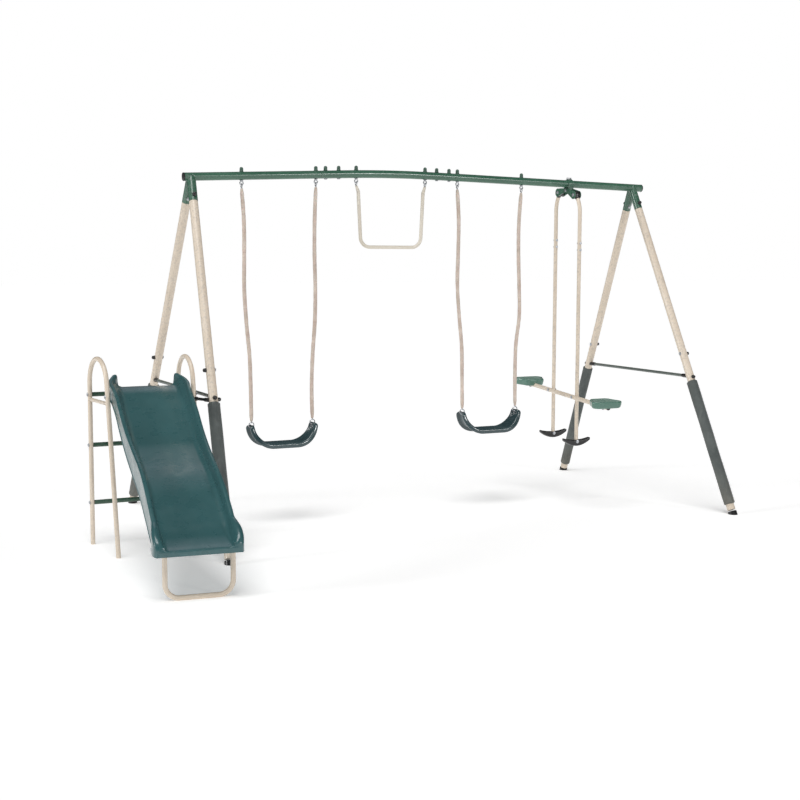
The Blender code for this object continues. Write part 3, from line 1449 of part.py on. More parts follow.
def main():
    clear_scene()
    finishes = make_materials()
    root = make_body("swing_set", (0, 0, 0))
    hanger_stops = [x for swing in SWINGS for x in swing["hangers"]] + list(TRAPEZE_HANGERS)
    make_top_bar(finishes, root, hanger_stops)
    make_legs(finishes, root)
    make_crossbars(finishes, root)
    make_hanger_eyes(finishes, root, hanger_stops)
    for swing in SWINGS:
        make_swing(swing, finishes, root)
    make_trapeze(finishes, root)
    make_glider(finishes, root)
    make_ladder(finishes, root)
    make_slide(finishes, root)
    centre_on_footprint(root)


main()
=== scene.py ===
"""Looks of a garden swing set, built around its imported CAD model.

Everything is laid out in the set's own coordinates, in metres: the top bar runs along X over
Y = 0 and the slide runs towards -Y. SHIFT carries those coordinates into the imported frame.
"""

import json
from math import atan, atan2, copysign, cos, exp, hypot, pi, radians, sin, sqrt, tau

import bmesh
import bpy
from mathutils import Matrix, Vector, noise
from mathutils.geometry import interpolate_bezier


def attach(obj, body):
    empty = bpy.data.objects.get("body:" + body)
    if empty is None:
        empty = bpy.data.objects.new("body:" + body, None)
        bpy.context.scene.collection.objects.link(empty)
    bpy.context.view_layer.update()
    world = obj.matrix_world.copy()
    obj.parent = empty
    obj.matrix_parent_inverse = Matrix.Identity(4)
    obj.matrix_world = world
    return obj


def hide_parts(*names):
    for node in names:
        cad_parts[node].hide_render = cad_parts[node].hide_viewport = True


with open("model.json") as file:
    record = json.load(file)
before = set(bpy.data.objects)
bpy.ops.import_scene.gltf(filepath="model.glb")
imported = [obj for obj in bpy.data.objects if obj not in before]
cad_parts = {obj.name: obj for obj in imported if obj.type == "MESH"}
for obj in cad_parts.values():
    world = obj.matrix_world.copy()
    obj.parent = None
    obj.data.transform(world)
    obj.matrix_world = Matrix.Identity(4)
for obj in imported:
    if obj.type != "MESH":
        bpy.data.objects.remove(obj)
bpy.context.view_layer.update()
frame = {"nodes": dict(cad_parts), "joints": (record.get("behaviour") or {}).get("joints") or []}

X = Vector((1, 0, 0))
Y = Vector((0, 1, 0))
Z = Vector((0, 0, 1))
TRAPEZE_X = -0.227
JOINTS = {joint["name"]: Vector(joint["pos_m"]) for joint in frame["joints"]}
SHIFT = Vector((JOINTS["trapeze_hinge"].x - TRAPEZE_X, JOINTS["trapeze_hinge"].y, 0))

# ---------------------------------------------------------------- the CAD model's sizes
APEX_X, FOOT_X, FOOT_Y = 1.340, 1.445, 0.860
BAR_RADIUS = 0.021
BAR_ENDS = (-1.377, 1.400)
BAR_SEAMS = (-0.640, 0.155)
BAR_OVERLAP = 0.140
BAR_LEFT_HEIGHT = 1.7975
BAR_SLOPES = (0.042, -0.024)
BAR_JOINT_BOLTS = (-0.608, -0.533, 0.049, 0.125)
LEG_RADIUS = 0.02225
SOCKET_RADIUS, SOCKET_LENGTH, SOCKET_BOLT_AT = 0.0228, 0.140, 0.112
LEG_SEAM_HEIGHT = 0.826
LEG_END_HEIGHT, LEG_BOLT_ABOVE_SEAM = 0.022, 0.035
SPIGOT_RADIUS, SPIGOT_LENGTH, SEAM_GAP = 0.0205, 0.030, 0.0004
PAD_RADIUS, PAD_TOP, PAD_BOTTOM = 0.0297, 0.707, 0.052
CROSSBAR_RADIUS, CROSSBAR_HEIGHT = 0.0085, 0.733
PLUG_RADIUS, PLUG_LENGTH = 0.0110, 0.040
HEAD_RADIUS, HEAD_HEIGHT = 0.0075, 0.0050
CAP_RADIUS, CAP_HEIGHT, LEG_CAP_HEIGHT = 0.0095, 0.024, 0.016
HINGE_DROP, EYE_RADIUS, EYE_WIRE = 0.046, 0.009, 0.003
RING_RADIUS, RING_WIRE, RING_RISE = 0.010, 0.0025, 0.0063
CHAIN_RADIUS, CHAIN_END_RADIUS, CHAIN_TAPER, CHAIN_BARE = 0.0105, 0.0068, 0.030, 0.003
SEAT_FLAT, SEAT_BEND, SEAT_TAIL = 0.065, 0.100, 0.020
SEAT_BEND_ANGLE = radians(78)
SEAT_WIDTH, SEAT_END_WIDTH = 0.130, 0.074
SEAT_SKIN, SEAT_FLANGE, SEAT_RING_RADIUS = 0.009, 0.026, 0.014
TRAPEZE_RADIUS, TRAPEZE_CORNER = 0.0095, 0.055
TRAPEZE_HALVES, TRAPEZE_HEIGHTS = (0.193, 0.1805), (1.745, 1.450)
GLIDER_X, GLIDER_TILT = 0.903, radians(6.8)
PIVOT_OUT, PIVOT_DROP, PLATE_GAP = 0.083, 0.055, 0.034
ARM_RADIUS, ARM_START_ANGLE, ARM_BEND = 0.0110, radians(45), 0.147
ARM_SEAM, ARM_LENGTH = 0.330, 1.421
BEAM_BELOW_PIVOT, BEAM_RADIUS = 1.152, 0.0125
BEAM_FRONT, BEAM_REAR, BEAM_CLEARANCE = 0.484, 0.395, 0.002
GSEAT_WIDTH, GSEAT_INNER, GSEAT_DEPTH, GSEAT_CORNER = 0.190, 0.138, 0.120, 0.0352
FOOTREST_WIDTH, FOOTREST_DEPTH = 0.178, 0.030
FOOTREST_MIDDLE, FOOTREST_TIP, FOOTREST_RISE, FOOTREST_SOCKET = 0.036, 0.014, 0.012, 0.022
POST_RADIUS, STRUT_RADIUS, STRUT_HEIGHT = 0.01125, 0.009, 0.712
LADDER_XS, LADDER_REAR_Y, LADDER_SPREAD = (-1.908, -1.468), -0.160, 0.364
LADDER_TOP, ARCH_RADIUS = 0.915, 0.123
LADDER_TOE_IN = radians(5.5)
RUNG_RADIUS = 0.0110
RUNGS = (("lower", 0.207), ("middle", 0.489), ("top", 0.735))
SLIDE_X, SLIDE_Y, SLIDE_TURN = -1.662, -0.270, radians(-5.4)
SLIDE_FLOOR_HALF, SLIDE_WALL, SLIDE_SKIN = 0.141, 0.030, 0.006
SLIDE_SHAPE = (
    # distance down the slide, floor height, half width, rail above the floor, skirt below it
    (0.000, 0.776, 0.158, 0.060, 0.040),
    (0.055, 0.774, 0.184, 0.044, 0.040),
    (0.105, 0.764, 0.191, 0.038, 0.040),
    (0.150, 0.744, 0.187, 0.043, 0.038),
    (0.240, 0.693, 0.183, 0.056, 0.036),
    (0.330, 0.640, 0.183, 0.060, 0.036),
    (0.480, 0.558, 0.179, 0.058, 0.044),
    (0.630, 0.497, 0.174, 0.056, 0.058),
    (0.780, 0.443, 0.171, 0.056, 0.068),
    (0.930, 0.373, 0.173, 0.056, 0.070),
    (1.050, 0.300, 0.174, 0.050, 0.064),
    (1.085, 0.277, 0.174, 0.049, 0.058),
    (1.115, 0.261, 0.181, 0.054, 0.050),
    (1.145, 0.247, 0.187, 0.056, 0.040),
    (1.180, 0.233, 0.188, 0.048, 0.032),
    (1.203, 0.226, 0.184, 0.034, 0.027),
    (1.215, 0.222, 0.176, 0.018, 0.024),
)
SLIDE_RAIL = (  # distance in from the side and below the rail, each with its growth at the exit
    (0.022, 0.014, 0.012, 0.004),
    (0.0195, 0.012, 0.004, 0.002),
    (0.015, 0.007, 0, 0),
    (0.006, 0.005, 0, 0),
    (0.001, 0.002, 0.003, 0.004),
    (0, 0, 0.009, 0.007),
    (0, 0, 0.016, 0.004),
)
SLIDE_LENGTH = SLIDE_SHAPE[-1][0]
LIP_DEPTH, LIP_THICKNESS = 0.025, 0.008
DECK_BOLT_HEIGHT = 0.745
BASE_ALONG, BASE_HALF, BASE_SHIFT, BASE_RADIUS, BASE_CORNER = 1.140, 0.1420, 0.010, 0.0110, 0.060
BASE_TOP, BASE_BOLT_HEIGHT = 0.232, 0.222
TIE_HEIGHT, TIE_RADIUS = 0.7215, 0.010
SWINGS = (  # name, hangers, seat ends, seat height, sway of the left and the right chain
    (
        "swing_left", (-1.073, -0.663), (-1.027, -0.692), 0.4245,
        (
            (0.004, 0.005, -0.0045, -0.0085, -0.001, 0.005),
            (-0.007, -0.0035, 0.006, 0.0055, -0.002, -0.004),
        ),
    ),
    (
        "swing_right", (0.177, 0.586), (0.2325, 0.5475), 0.4365,
        (
            (0.0035, 0.0055, -0.006, -0.0125, -0.003, 0.005),
            (-0.0055, -0.006, 0.011, 0.004, -0.006, -0.009),
        ),
    ),
)
TRAPEZE_HANGERS = (-0.432, -0.022)
SIDES = (("left", -1), ("right", 1))  # sign of X
ENDS = (("front", -1), ("rear", 1))  # sign of Y
LEGS = [(f"{end}_{name}", side, face) for name, side in SIDES for end, face in ENDS]
TUBE = 28  # sides of a round tube
FINE = 16  # sides of a small round part


# ---------------------------------------------------------------- small sums
def clamp(value):
    """Value held between 0 and 1."""
    return min(1.0, max(0.0, value))


def bell(value, middle, width):
    """Bell curve with a top of 1."""
    return exp(-(((value - middle) / width) ** 2))


def spread(low, high, steps):
    """Evenly spaced values from low to high."""
    return [low + (high - low) * i / steps for i in range(steps + 1)]


def arc(centre, radius, start, end, steps):
    """Points (a, b) along an arc."""
    a, b = centre
    return [(a + radius * cos(t), b + radius * sin(t)) for t in spread(start, end, steps)]


def mirrored(half):
    """Outline (a, b) with its mirror image in a = 0."""
    return half + [(-a, b) for a, b in reversed(half) if a]


def circle(centre, across, side, radius, sides, phase=0.0):
    """Points around a centre, in the plane of two vectors."""
    turns = [tau * (j + phase) / sides for j in range(sides)]
    return [centre + (across * cos(t) + side * sin(t)) * radius for t in turns]


def square_to(vector, along):
    """Unit vector that is square to along and nearest to vector."""
    return (vector - along * vector.dot(along)).normalized()


# ---------------------------------------------------------------- meshes
def tangents(points):
    """Direction of a path at each of its points, which may repeat."""
    result = []
    for i in range(len(points)):
        low = i
        high = i
        while high < len(points) - 1 and (points[high] - points[i]).length < 1e-6:
            high += 1
        while low > 0 and (points[low] - points[i]).length < 1e-6:
            low -= 1
        result.append((points[high] - points[low]).normalized())
    return result

class Shape:
    """Mesh gathered from closed solids."""

    def __init__(self):
        self.points = []
        self.faces = []

    def loft(self, loops, closed=False):
        """Skin over rings of equal length; closed joins the last ring to the first."""
        first = len(self.points)
        size = len(loops[0])
        for loop in loops:
            self.points += loop
        rows = len(loops)
        for i in range(rows if closed else rows - 1):
            a = first + i * size
            b = first + (i + 1) % rows * size
            for j in range(size):
                k = (j + 1) % size
                self.faces.append((a + j, a + k, b + k, b + j))
        if not closed:
            self.faces.append(tuple(range(first + size - 1, first - 1, -1)))
            last = first + (rows - 1) * size
            self.faces.append(tuple(range(last, last + size)))
        return self

    def rod(self, path, radii, normal=Z, sides=TUBE):
        """Round bar along a path, with a radius for each point."""
        loops = []
        for point, along, radius in zip(path, tangents(path), radii):
            across = normal - along * normal.dot(along)
            if across.length < 0.1:
                across = along.orthogonal()
            normal = across.normalized()
            loops.append(circle(point, normal, along.cross(normal), radius, sides))
        return self.loft(loops)

    def tube(self, path, radius, normal=Z, edge=0.0009):
        """Round tube with softened ends."""
        first = path[0].lerp(path[1], min(0.4, edge / (path[1] - path[0]).length))
        last = path[-1].lerp(path[-2], min(0.4, edge / (path[-1] - path[-2]).length))
        stops = [path[0], first] + path[1:-1] + [last, path[-1]]
        radii = [radius - edge] + [radius] * (len(stops) - 2) + [radius - edge]
        return self.rod(stops, radii, normal)

    def turned(self, base, direction, profile, sides=FINE):
        """Solid of revolution from (radius, distance) pairs."""
        direction = direction.normalized()
        across = direction.orthogonal().normalized()
        side = direction.cross(across)
        return self.loft(
            [circle(base + direction * d, across, side, max(r, 1e-5), sides) for r, d in profile]
        )

    def ring(self, centre, axis, radius, wire, stretch=None, turns=32, sides=12):
        """Wire ring; stretch is a vector that pulls it into a long link."""
        axis = axis.normalized()
        across = (axis.orthogonal() if stretch is None else stretch).normalized()
        pull = 0 if stretch is None else stretch.length
        up = axis.cross(across)
        loops = []
        for i in range(turns):
            angle = tau * (i + 0.5) / turns
            out = across * cos(angle) + up * sin(angle)
            middle = centre + out * radius + across * copysign(pull, cos(angle))
            loops.append(circle(middle, out, axis, wire, sides))
        return self.loft(loops, closed=True)

    def head(self, base, direction, washer=True):
        """Hexagon bolt head, usually with a washer; base lies on the surface it holds."""
        if washer:
            self.turned(base, direction, [(0.01, -0.0004), (0.01, 0.0008), (0.0096, 0.0012)])
        r, h = HEAD_RADIUS, HEAD_HEIGHT
        return self.turned(base, direction, [(r, 0.0008), (r, h * 0.8), (r * 0.86, h)], 6)

    def heads(self, point, direction, reach, washer=True):
        """Bolt heads on both sides of a point."""
        for side in (-1, 1):
            self.head(point + direction * (side * reach), direction * side, washer)

    def cap(self, base, direction, height=CAP_HEIGHT, radius=CAP_RADIUS):
        """Domed plastic cap nut with a skirt."""
        profile = [(radius * 1.12, -0.001), (radius * 1.12, height * 0.14)]
        profile += [(radius, height * 0.2), (radius, height * 0.6)]
        for i in range(1, 6):
            angle = pi / 2 * i / 6
            rise = height * (0.6 + 0.4 * sin(angle))
            profile.append((radius * cos(angle), rise))
        profile.append((0, height))
        return self.turned(base, direction, profile, 20)


def bolt_through(steel, nuts, point, direction, reach, height=CAP_HEIGHT):
    """Bolt through a tube: its head on one side and a cap nut on the other."""
    steel.head(point - direction * reach, -direction)
    nuts.cap(point + direction * reach, direction, height)


def cleaned(mesh, merge=False):
    """Turn a mesh's faces outward, and merge flat ones where asked."""
    bm = bmesh.new()
    bm.from_mesh(mesh)
    if merge:
        bmesh.ops.remove_doubles(bm, verts=bm.verts, dist=1e-6)
        bmesh.ops.dissolve_limit(bm, angle_limit=radians(1), verts=bm.verts, edges=bm.edges)
    bmesh.ops.recalc_face_normals(bm, faces=bm.faces)
    bm.to_mesh(mesh)
    bm.free()
    return mesh


def link(name, data):
    """Put an object in the scene."""
    thing = bpy.data.objects.new(name, data)
    bpy.context.scene.collection.objects.link(thing)
    return thing


def dress(name, mesh, finish, node, body="frame", sharp=38):
    """Show a mesh as a named piece with its finish, riding on a body."""
    piece = link(name, mesh)
    mesh.polygons.foreach_set("use_smooth", [True] * len(mesh.polygons))
    mesh.set_sharp_from_angle(angle=radians(sharp))
    mesh.materials.clear()
    mesh.materials.append(FINISHES[finish])
    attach(piece, body)
    if node:
        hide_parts(node)
    return piece


def place(name, shape, finish, node=None, body="frame", sharp=38):
    """Turn a shape into a piece, which may stand for a CAD node."""
    mesh = bpy.data.meshes.new(name)
    mesh.from_pydata([tuple(p + SHIFT) for p in shape.points], [], shape.faces)
    return dress(name, cleaned(mesh), finish, node, body, sharp)


def soften(node, finish, width):
    """Copy of a CAD node with rounded edges, shown in its place."""
    mesh = cleaned(frame["nodes"][node].data.copy(), merge=True)
    modifier = dress(f"{node}_piece", mesh, finish, node).modifiers.new("edges", "BEVEL")
    modifier.width = width
    modifier.segments = 3
    modifier.limit_method = "ANGLE"
    modifier.angle_limit = radians(30)
    modifier.harden_normals = True


# ---------------------------------------------------------------- materials
def srgb(red, green, blue):
    """Scene colour from 8-bit display values."""
    linear = []
    for value in (red, green, blue):
        v = value / 255
        linear.append(v / 12.92 if v <= 0.04045 else ((v + 0.055) / 1.055) ** 2.4)
    return (*linear, 1.0)


class Surface:
    """Node material that is assembled a layer at a time, with colours as 8-bit display values."""

    def __init__(self, name):
        self.material = bpy.data.materials.new(name)
        self.material.use_nodes = True
        self.tree = self.material.node_tree
        self.shader = self.tree.nodes["Principled BSDF"]
        self.place = self.tree.nodes.new("ShaderNodeTexCoord").outputs["Object"]
        self.colour = None

    def node(self, kind, links=None, **settings):
        """Add a node; settings are attributes or input values, links are joined inputs."""
        node = self.tree.nodes.new("ShaderNode" + kind)
        for key, value in settings.items():
            if hasattr(node, key):
                setattr(node, key, value)
            else:
                node.inputs[key.replace("_", " ").title()].default_value = value
        for key, source in (links or {}).items():
            self.tree.links.new(source, node.inputs[key])
        return node

    def join(self, value, socket):
        """Link a node's output to an input, or set the input to a plain value."""
        if isinstance(value, bpy.types.NodeSocket):
            self.tree.links.new(value, socket)
        else:
            socket.default_value = value

    def stretch(self, *scale):
        """Object coordinates scaled unevenly."""
        return self.node("Mapping", {"Vector": self.place}, scale=scale).outputs["Vector"]

    def clouds(self, scale, detail=4.0, roughness=0.55, place=None):
        """Noise from 0 to 1."""
        settings = {"scale": scale, "detail": detail, "roughness": roughness}
        return self.node("TexNoise", {"Vector": place or self.place}, **settings).outputs["Fac"]

    def ramp(self, source, low, high, low_value=0.0, high_value=1.0):
        """Map a stretch of a value to another stretch, held at its ends."""
        settings = {"from_min": low, "from_max": high, "to_min": low_value, "to_max": high_value}
        return self.node("MapRange", {"Value": source}, **settings).outputs["Result"]

    def mix(self, factor, first, second):
        """Blend two colours."""
        node = self.node("Mix", data_type="RGBA")
        for index, value in ((0, factor), (6, first), (7, second)):
            self.join(srgb(*value) if isinstance(value, tuple) else value, node.inputs[index])
        return node.outputs[2]

    def start(self, source, low, high, first, second):
        """Set the colour to a drift between two."""
        self.colour = self.mix(self.ramp(source, low, high), first, second)

    def cover(self, mask, colour):
        """Lay a colour over the surface where a mask is strong."""
        self.colour = self.mix(mask, self.colour, colour)

    def layer(self, source, low, high, amount, colour):
        """Lay a colour where a value is high."""
        self.cover(self.ramp(source, low, high, 0.0, amount), colour)

    def maths(self, operation, first, second):
        """One sum on values."""
        node = self.node("Math", operation=operation)
        self.join(first, node.inputs[0])
        self.join(second, node.inputs[1])
        return node.outputs[0]

    def z_of(self, vector):
        """Third value of a vector."""
        return self.node("SeparateXYZ", {"Vector": vector}).outputs["Z"]

    def dust(self, low, high, amount, scale, colour):
        """Dust that thins out with height above the ground."""
        fall = self.ramp(self.z_of(self.place), low, high, amount, 0.0)
        self.cover(self.maths("MULTIPLY", fall, self.clouds(scale, 6.0)), colour)

    def worn_edges(self, amount, colour):
        """Rubbed edges, broken up by noise."""
        edge = self.ramp(self.node("NewGeometry").outputs["Pointiness"], 0.53, 0.6)
        patches = self.ramp(self.clouds(90.0, 3.0), 0.5, 0.62, 0.0, amount)
        self.cover(self.maths("MULTIPLY", edge, patches), colour)

    def bump(self, *layers):
        """Stack bump layers of (value, distance in metres)."""
        normal = None
        for value, distance in layers:
            node = self.node("Bump", {"Height": value}, distance=distance)
            if normal:
                self.tree.links.new(normal, node.inputs["Normal"])
            normal = node.outputs["Normal"]
        self.tree.links.new(normal, self.shader.inputs["Normal"])

    def rough(self, scale, detail, low, high):
        """Roughness that drifts between two values."""
        return self.ramp(self.clouds(scale, detail), 0.3, 0.7, low, high)

    def finish(self, roughness, **fixed):
        """Join colour and roughness to the shader and set its plain sockets."""
        self.tree.links.new(self.colour, self.shader.inputs["Base Color"])
        self.tree.links.new(roughness, self.shader.inputs["Roughness"])
        for key, value in fixed.items():
            self.shader.inputs[key.replace("_", " ").title()].default_value = value
        return self.material


def paint(name, base, dark, pale, roughness, coat=0.25):
    """Powder coat: colour drift, streaks, orange peel, worn edges, chips, dust near the ground."""
    bare = (150, 150, 148)
    s = Surface(name)
    s.start(s.clouds(5.0), 0.35, 0.65, dark, base)
    s.layer(s.clouds(23.0, 5.0), 0.56, 0.72, 0.35, pale)
    s.layer(s.clouds(30.0, 6.0, place=s.stretch(1.0, 1.0, 0.12)), 0.58, 0.75, 0.16, dark)
    s.dust(0.0, 0.16, 0.3, 48.0, (168, 156, 138))
    s.worn_edges(0.45, bare)
    s.layer(s.clouds(170.0, 2.0), 0.735, 0.765, 0.55, bare)
    s.bump((s.clouds(620.0, 2.0), 0.00012), (s.clouds(60.0, 3.0), 0.0004))
    rough = s.rough(34.0, 5.0, roughness - 0.06, roughness + 0.09)
    return s.finish(rough, coat_weight=coat, coat_roughness=0.18)


def moulded(name, base, dark, pale, roughness, scuff, coat=0.3, top=None, fade=0.0):
    """Moulded plastic: slight flow marks, fine grain, scuffs, and a painted reflection on level
    faces.
    """
    s = Surface(name)
    s.start(s.clouds(3.2, 3.0), 0.34, 0.66, dark, base)
    s.layer(s.clouds(9.0, 4.0, place=s.stretch(1.0, 0.35, 0.6)), 0.52, 0.74, 0.32, pale)
    marks = s.ramp(s.clouds(26.0, 7.0, 0.7, s.stretch(9.0, 0.7, 1.4)), 0.63, 0.7, 0.0, scuff)
    s.cover(marks, pale)
    s.worn_edges(0.4, pale)
    if top:
        # Painted reflection: level faces that look up get a paler colour, standing in for the
        # bright sky they mirror.
        normal = s.node("NewGeometry").outputs["Normal"]
        level = s.ramp(s.z_of(normal), 0.9, 0.995, 0.0, fade)
        patches = s.ramp(s.clouds(14.0, 5.0), 0.3, 0.6, 0.65, 1.0)
        s.cover(s.maths("MULTIPLY", level, patches), top)
    s.bump((s.clouds(420.0, 3.0), 0.00016), (s.clouds(38.0, 3.0), 0.0005), (marks, 0.00008))
    rough = s.rough(20.0, 6.0, roughness - 0.05, roughness + 0.1)
    rough = s.maths("ADD", rough, s.maths("MULTIPLY", marks, 0.25))
    return s.finish(rough, coat_weight=coat, coat_roughness=0.12)


def metal(name):
    """Bright zinc plate with spangle and a little white dulling."""
    s = Surface(name)
    cells = s.node("TexVoronoi", {"Vector": s.place}, scale=420.0).outputs["Distance"]
    s.start(cells, 0.1, 0.6, (214, 215, 218), (186, 189, 194))
    s.layer(s.clouds(130.0, 5.0), 0.52, 0.68, 0.6, (158, 158, 156))
    s.bump((cells, 0.00006), (s.clouds(300.0, 3.0), 0.00008))
    return s.finish(s.rough(160.0, 4.0, 0.22, 0.44), metallic=1.0)


def sleeve_vinyl(name):
    """Soft vinyl sleeve: creases across it, with painted shade in them, and handling marks."""
    s = Surface(name)
    s.start(s.clouds(16.0, 4.0), 0.36, 0.66, (198, 181, 168), (222, 208, 196))
    creases_and_shade = s.clouds(60.0, 5.0, place=s.stretch(0.5, 0.5, 2.4))
    # Painted shade: the creases are darkened where the folds would lie in shadow.
    s.layer(creases_and_shade, 0.55, 0.72, 0.45, (170, 151, 137))
    s.layer(s.clouds(210.0, 2.0), 0.66, 0.76, 0.3, (214, 198, 182))
    s.bump((s.clouds(480.0, 2.0), 0.00015), (creases_and_shade, 0.0012))
    return s.finish(s.rough(50.0, 4.0, 0.46, 0.64), subsurface_weight=0.05, sheen_weight=0.12)


def pad_fabric(name):
    """Coated woven cover of the leg pads: twill weave, faded folds, dust at the bottom."""
    s = Surface(name)
    s.start(s.clouds(7.0, 5.0), 0.35, 0.68, (73, 79, 78), (96, 102, 100))
    fade = s.clouds(22.0, 6.0, place=s.stretch(1.6, 1.6, 0.35))
    s.layer(fade, 0.54, 0.74, 0.5, (116, 122, 120))
    threads = [
        s.node("TexWave", {"Vector": s.place}, scale=150.0, distortion=0.4, bands_direction=way)
        for way in ("X", "Z")
    ]
    weave = s.maths("MULTIPLY", *[thread.outputs["Fac"] for thread in threads])
    s.cover(s.ramp(weave, 0.0, 1.0, 0.22, 0.0), (58, 63, 64))
    s.dust(0.05, 0.26, 0.42, 40.0, (150, 140, 124))
    s.bump((weave, 0.00035), (fade, 0.001), (s.clouds(320.0, 3.0), 0.0002))
    return s.finish(s.rough(60.0, 4.0, 0.58, 0.8), sheen_weight=0.25, sheen_roughness=0.4)


PAINTS = {  # base, dark and pale colours, roughness, and the coat where it is not the usual one
    "green_paint": ((66, 108, 88), (56, 97, 78), (90, 130, 111), 0.24, 0.6),
    "tan_paint": ((229, 215, 197), (221, 206, 187), (236, 224, 210), 0.36),
    "slate_paint": ((94, 104, 99), (82, 91, 87), (116, 126, 121), 0.38),
    "rung_paint": ((48, 84, 65), (38, 72, 54), (70, 104, 86), 0.36),
    "cream_paint": ((230, 222, 208), (222, 213, 197), (238, 231, 219), 0.34),
}
PLASTICS = {  # base, dark and pale colours, roughness, scuffs, coat, painted reflection colour on level tops and its strength
    "black_plastic": ((22, 23, 24), (15, 16, 17), (44, 46, 48), 0.38, 0.2),
    "green_plastic": ((66, 96, 82), (54, 82, 69), (96, 124, 110), 0.34, 0.2),
    "seat_plastic": (
        (46, 70, 74), (38, 60, 65), (70, 94, 99), 0.24, 0.15, 0.7, (98, 120, 126), 0.4,
    ),
    "slide_plastic": (
        (57, 98, 101), (51, 91, 94), (68, 110, 113), 0.28, 0.05, 0.45, (128, 148, 156), 0.75,
    ),
    "glider_plastic": (
        (84, 126, 111), (74, 115, 100), (108, 150, 135), 0.26, 0.15, 0.5, (176, 200, 190), 0.85,
    ),
}
FINISHES = {name: paint(name, *values) for name, values in PAINTS.items()}
FINISHES |= {name: moulded(name, *values) for name, values in PLASTICS.items()}
FINISHES["pad_foam"] = pad_fabric("pad_foam")
FINISHES["zinc_steel"] = metal("zinc_steel")
FINISHES["chain_sleeve"] = sleeve_vinyl("chain_sleeve")


# ---------------------------------------------------------------- swing frame
def bar_point(x):
    """Point on the arched top bar's axis."""
    start = BAR_SEAMS[0] + BAR_OVERLAP
    end = BAR_SEAMS[1] - BAR_OVERLAP
    z = BAR_LEFT_HEIGHT + BAR_SLOPES[0] * (min(x, start) + APEX_X)
    if x > start:
        along = min(x, end) - start
        curvature = (BAR_SLOPES[1] - BAR_SLOPES[0]) / (end - start)
        z += BAR_SLOPES[0] * along + curvature * along**2 / 2
    if x > end:
        z += BAR_SLOPES[1] * (x - end)
    return Vector((x, 0, z))


def leg_ends(side, face):
    """Apex and foot of a leg's axis."""
    return bar_point(side * APEX_X), Vector((side * FOOT_X, face * FOOT_Y, 0))


def leg_at(side, face, distance):
    """Point on a leg's axis, measured from the apex."""
    apex, foot = leg_ends(side, face)
    return apex + (foot - apex).normalized() * distance


def leg_tube(shape, side, face, start, end, radius):
    """Add the stretch of a leg between two distances from the apex."""
    shape.tube([leg_at(side, face, start), leg_at(side, face, end)], radius, X)


def leg_at_height(side, face, height):
    """Point on a leg's axis at a height."""
    apex, foot = leg_ends(side, face)
    return apex.lerp(foot, (apex.z - height) / apex.z)


def leg_distance(side, face, height):
    """Distance from the apex to a height, along a leg."""
    return (leg_at_height(side, face, height) - bar_point(side * APEX_X)).length


def leg_outward(side, face):
    """Direction square to a leg that looks away from the other leg of its pair."""
    along = leg_at(side, face, 1) - leg_at(side, face, 0)
    return X.cross(along).normalized() * face


def weld_bead(shape, side, face):
    """Uneven bead where a leg socket meets the bar."""
    apex = leg_at(side, face, 0)
    along = (leg_at(side, face, 1) - apex).normalized()
    across = square_to(X, along)
    count = 44
    path = []
    for radial in circle(Vector(), across, along.cross(across), SOCKET_RADIUS, count):
        low, high = 0.0, 0.09
        for _ in range(20):
            middle = (low + high) / 2
            point = apex + along * middle + radial
            inside = hypot(point.y, point.z - bar_point(point.x).z) < BAR_RADIUS
            low, high = (middle, high) if inside else (low, middle)
        path.append(apex + along * low + radial)
    loops = []
    for i in range(count):
        forward = (path[(i + 1) % count] - path[i - 1]).normalized()
        up = square_to((path[i] - apex).normalized(), forward)
        radius = 0.002 + 0.0006 * sin(i * 2.4)
        loops.append(circle(path[i], up, forward.cross(up), radius, 8))
    shape.loft(loops, closed=True)


def make_top_bar():
    """The three bar tubes with their leg sockets, end plugs, bolts and cap nuts."""
    black, green, steel = Shape(), Shape(), Shape()
    profile = [(0.018, -0.01), (0.0215, 0.0003), (0.022, 0.003), (0.0205, 0.0052)]
    profile += [(0.012, 0.0062)]
    for (name, side), end, seam in zip(SIDES, BAR_ENDS, BAR_SEAMS):
        bar = Shape().tube([bar_point(x) for x in spread(end, seam, 6)], BAR_RADIUS, Y)
        for face in (-1, 1):
            leg_tube(bar, side, face, 0.004, SOCKET_LENGTH, SOCKET_RADIUS)
            weld_bead(bar, side, face)
            bolt, outward = leg_at(side, face, SOCKET_BOLT_AT), leg_outward(side, face)
            bolt_through(steel, black, bolt, outward, SOCKET_RADIUS, LEG_CAP_HEIGHT)
        place(f"top_bar_{name}_tube", bar, "green_paint", f"top_bar_{name}")
        outward = bar_point(end + side * 0.01) - bar_point(end)
        plug = Shape().turned(bar_point(end), outward, profile, TUBE)
        place(f"bar_end_plug_{name}", plug, "black_plastic", f"bar_end_cap_{name}")
    bar = Shape().tube([bar_point(x) for x in spread(*BAR_SEAMS, 24)], BAR_RADIUS, Y)
    place("top_bar_middle_tube", bar, "green_paint", "top_bar_middle")
    for x in BAR_JOINT_BOLTS:
        bolt_through(steel, green, bar_point(x), Z, BAR_RADIUS)
    place("bar_bolt_heads", steel, "zinc_steel")
    place("bar_cap_nuts", green, "green_plastic")
    place("socket_cap_nuts", black, "black_plastic")


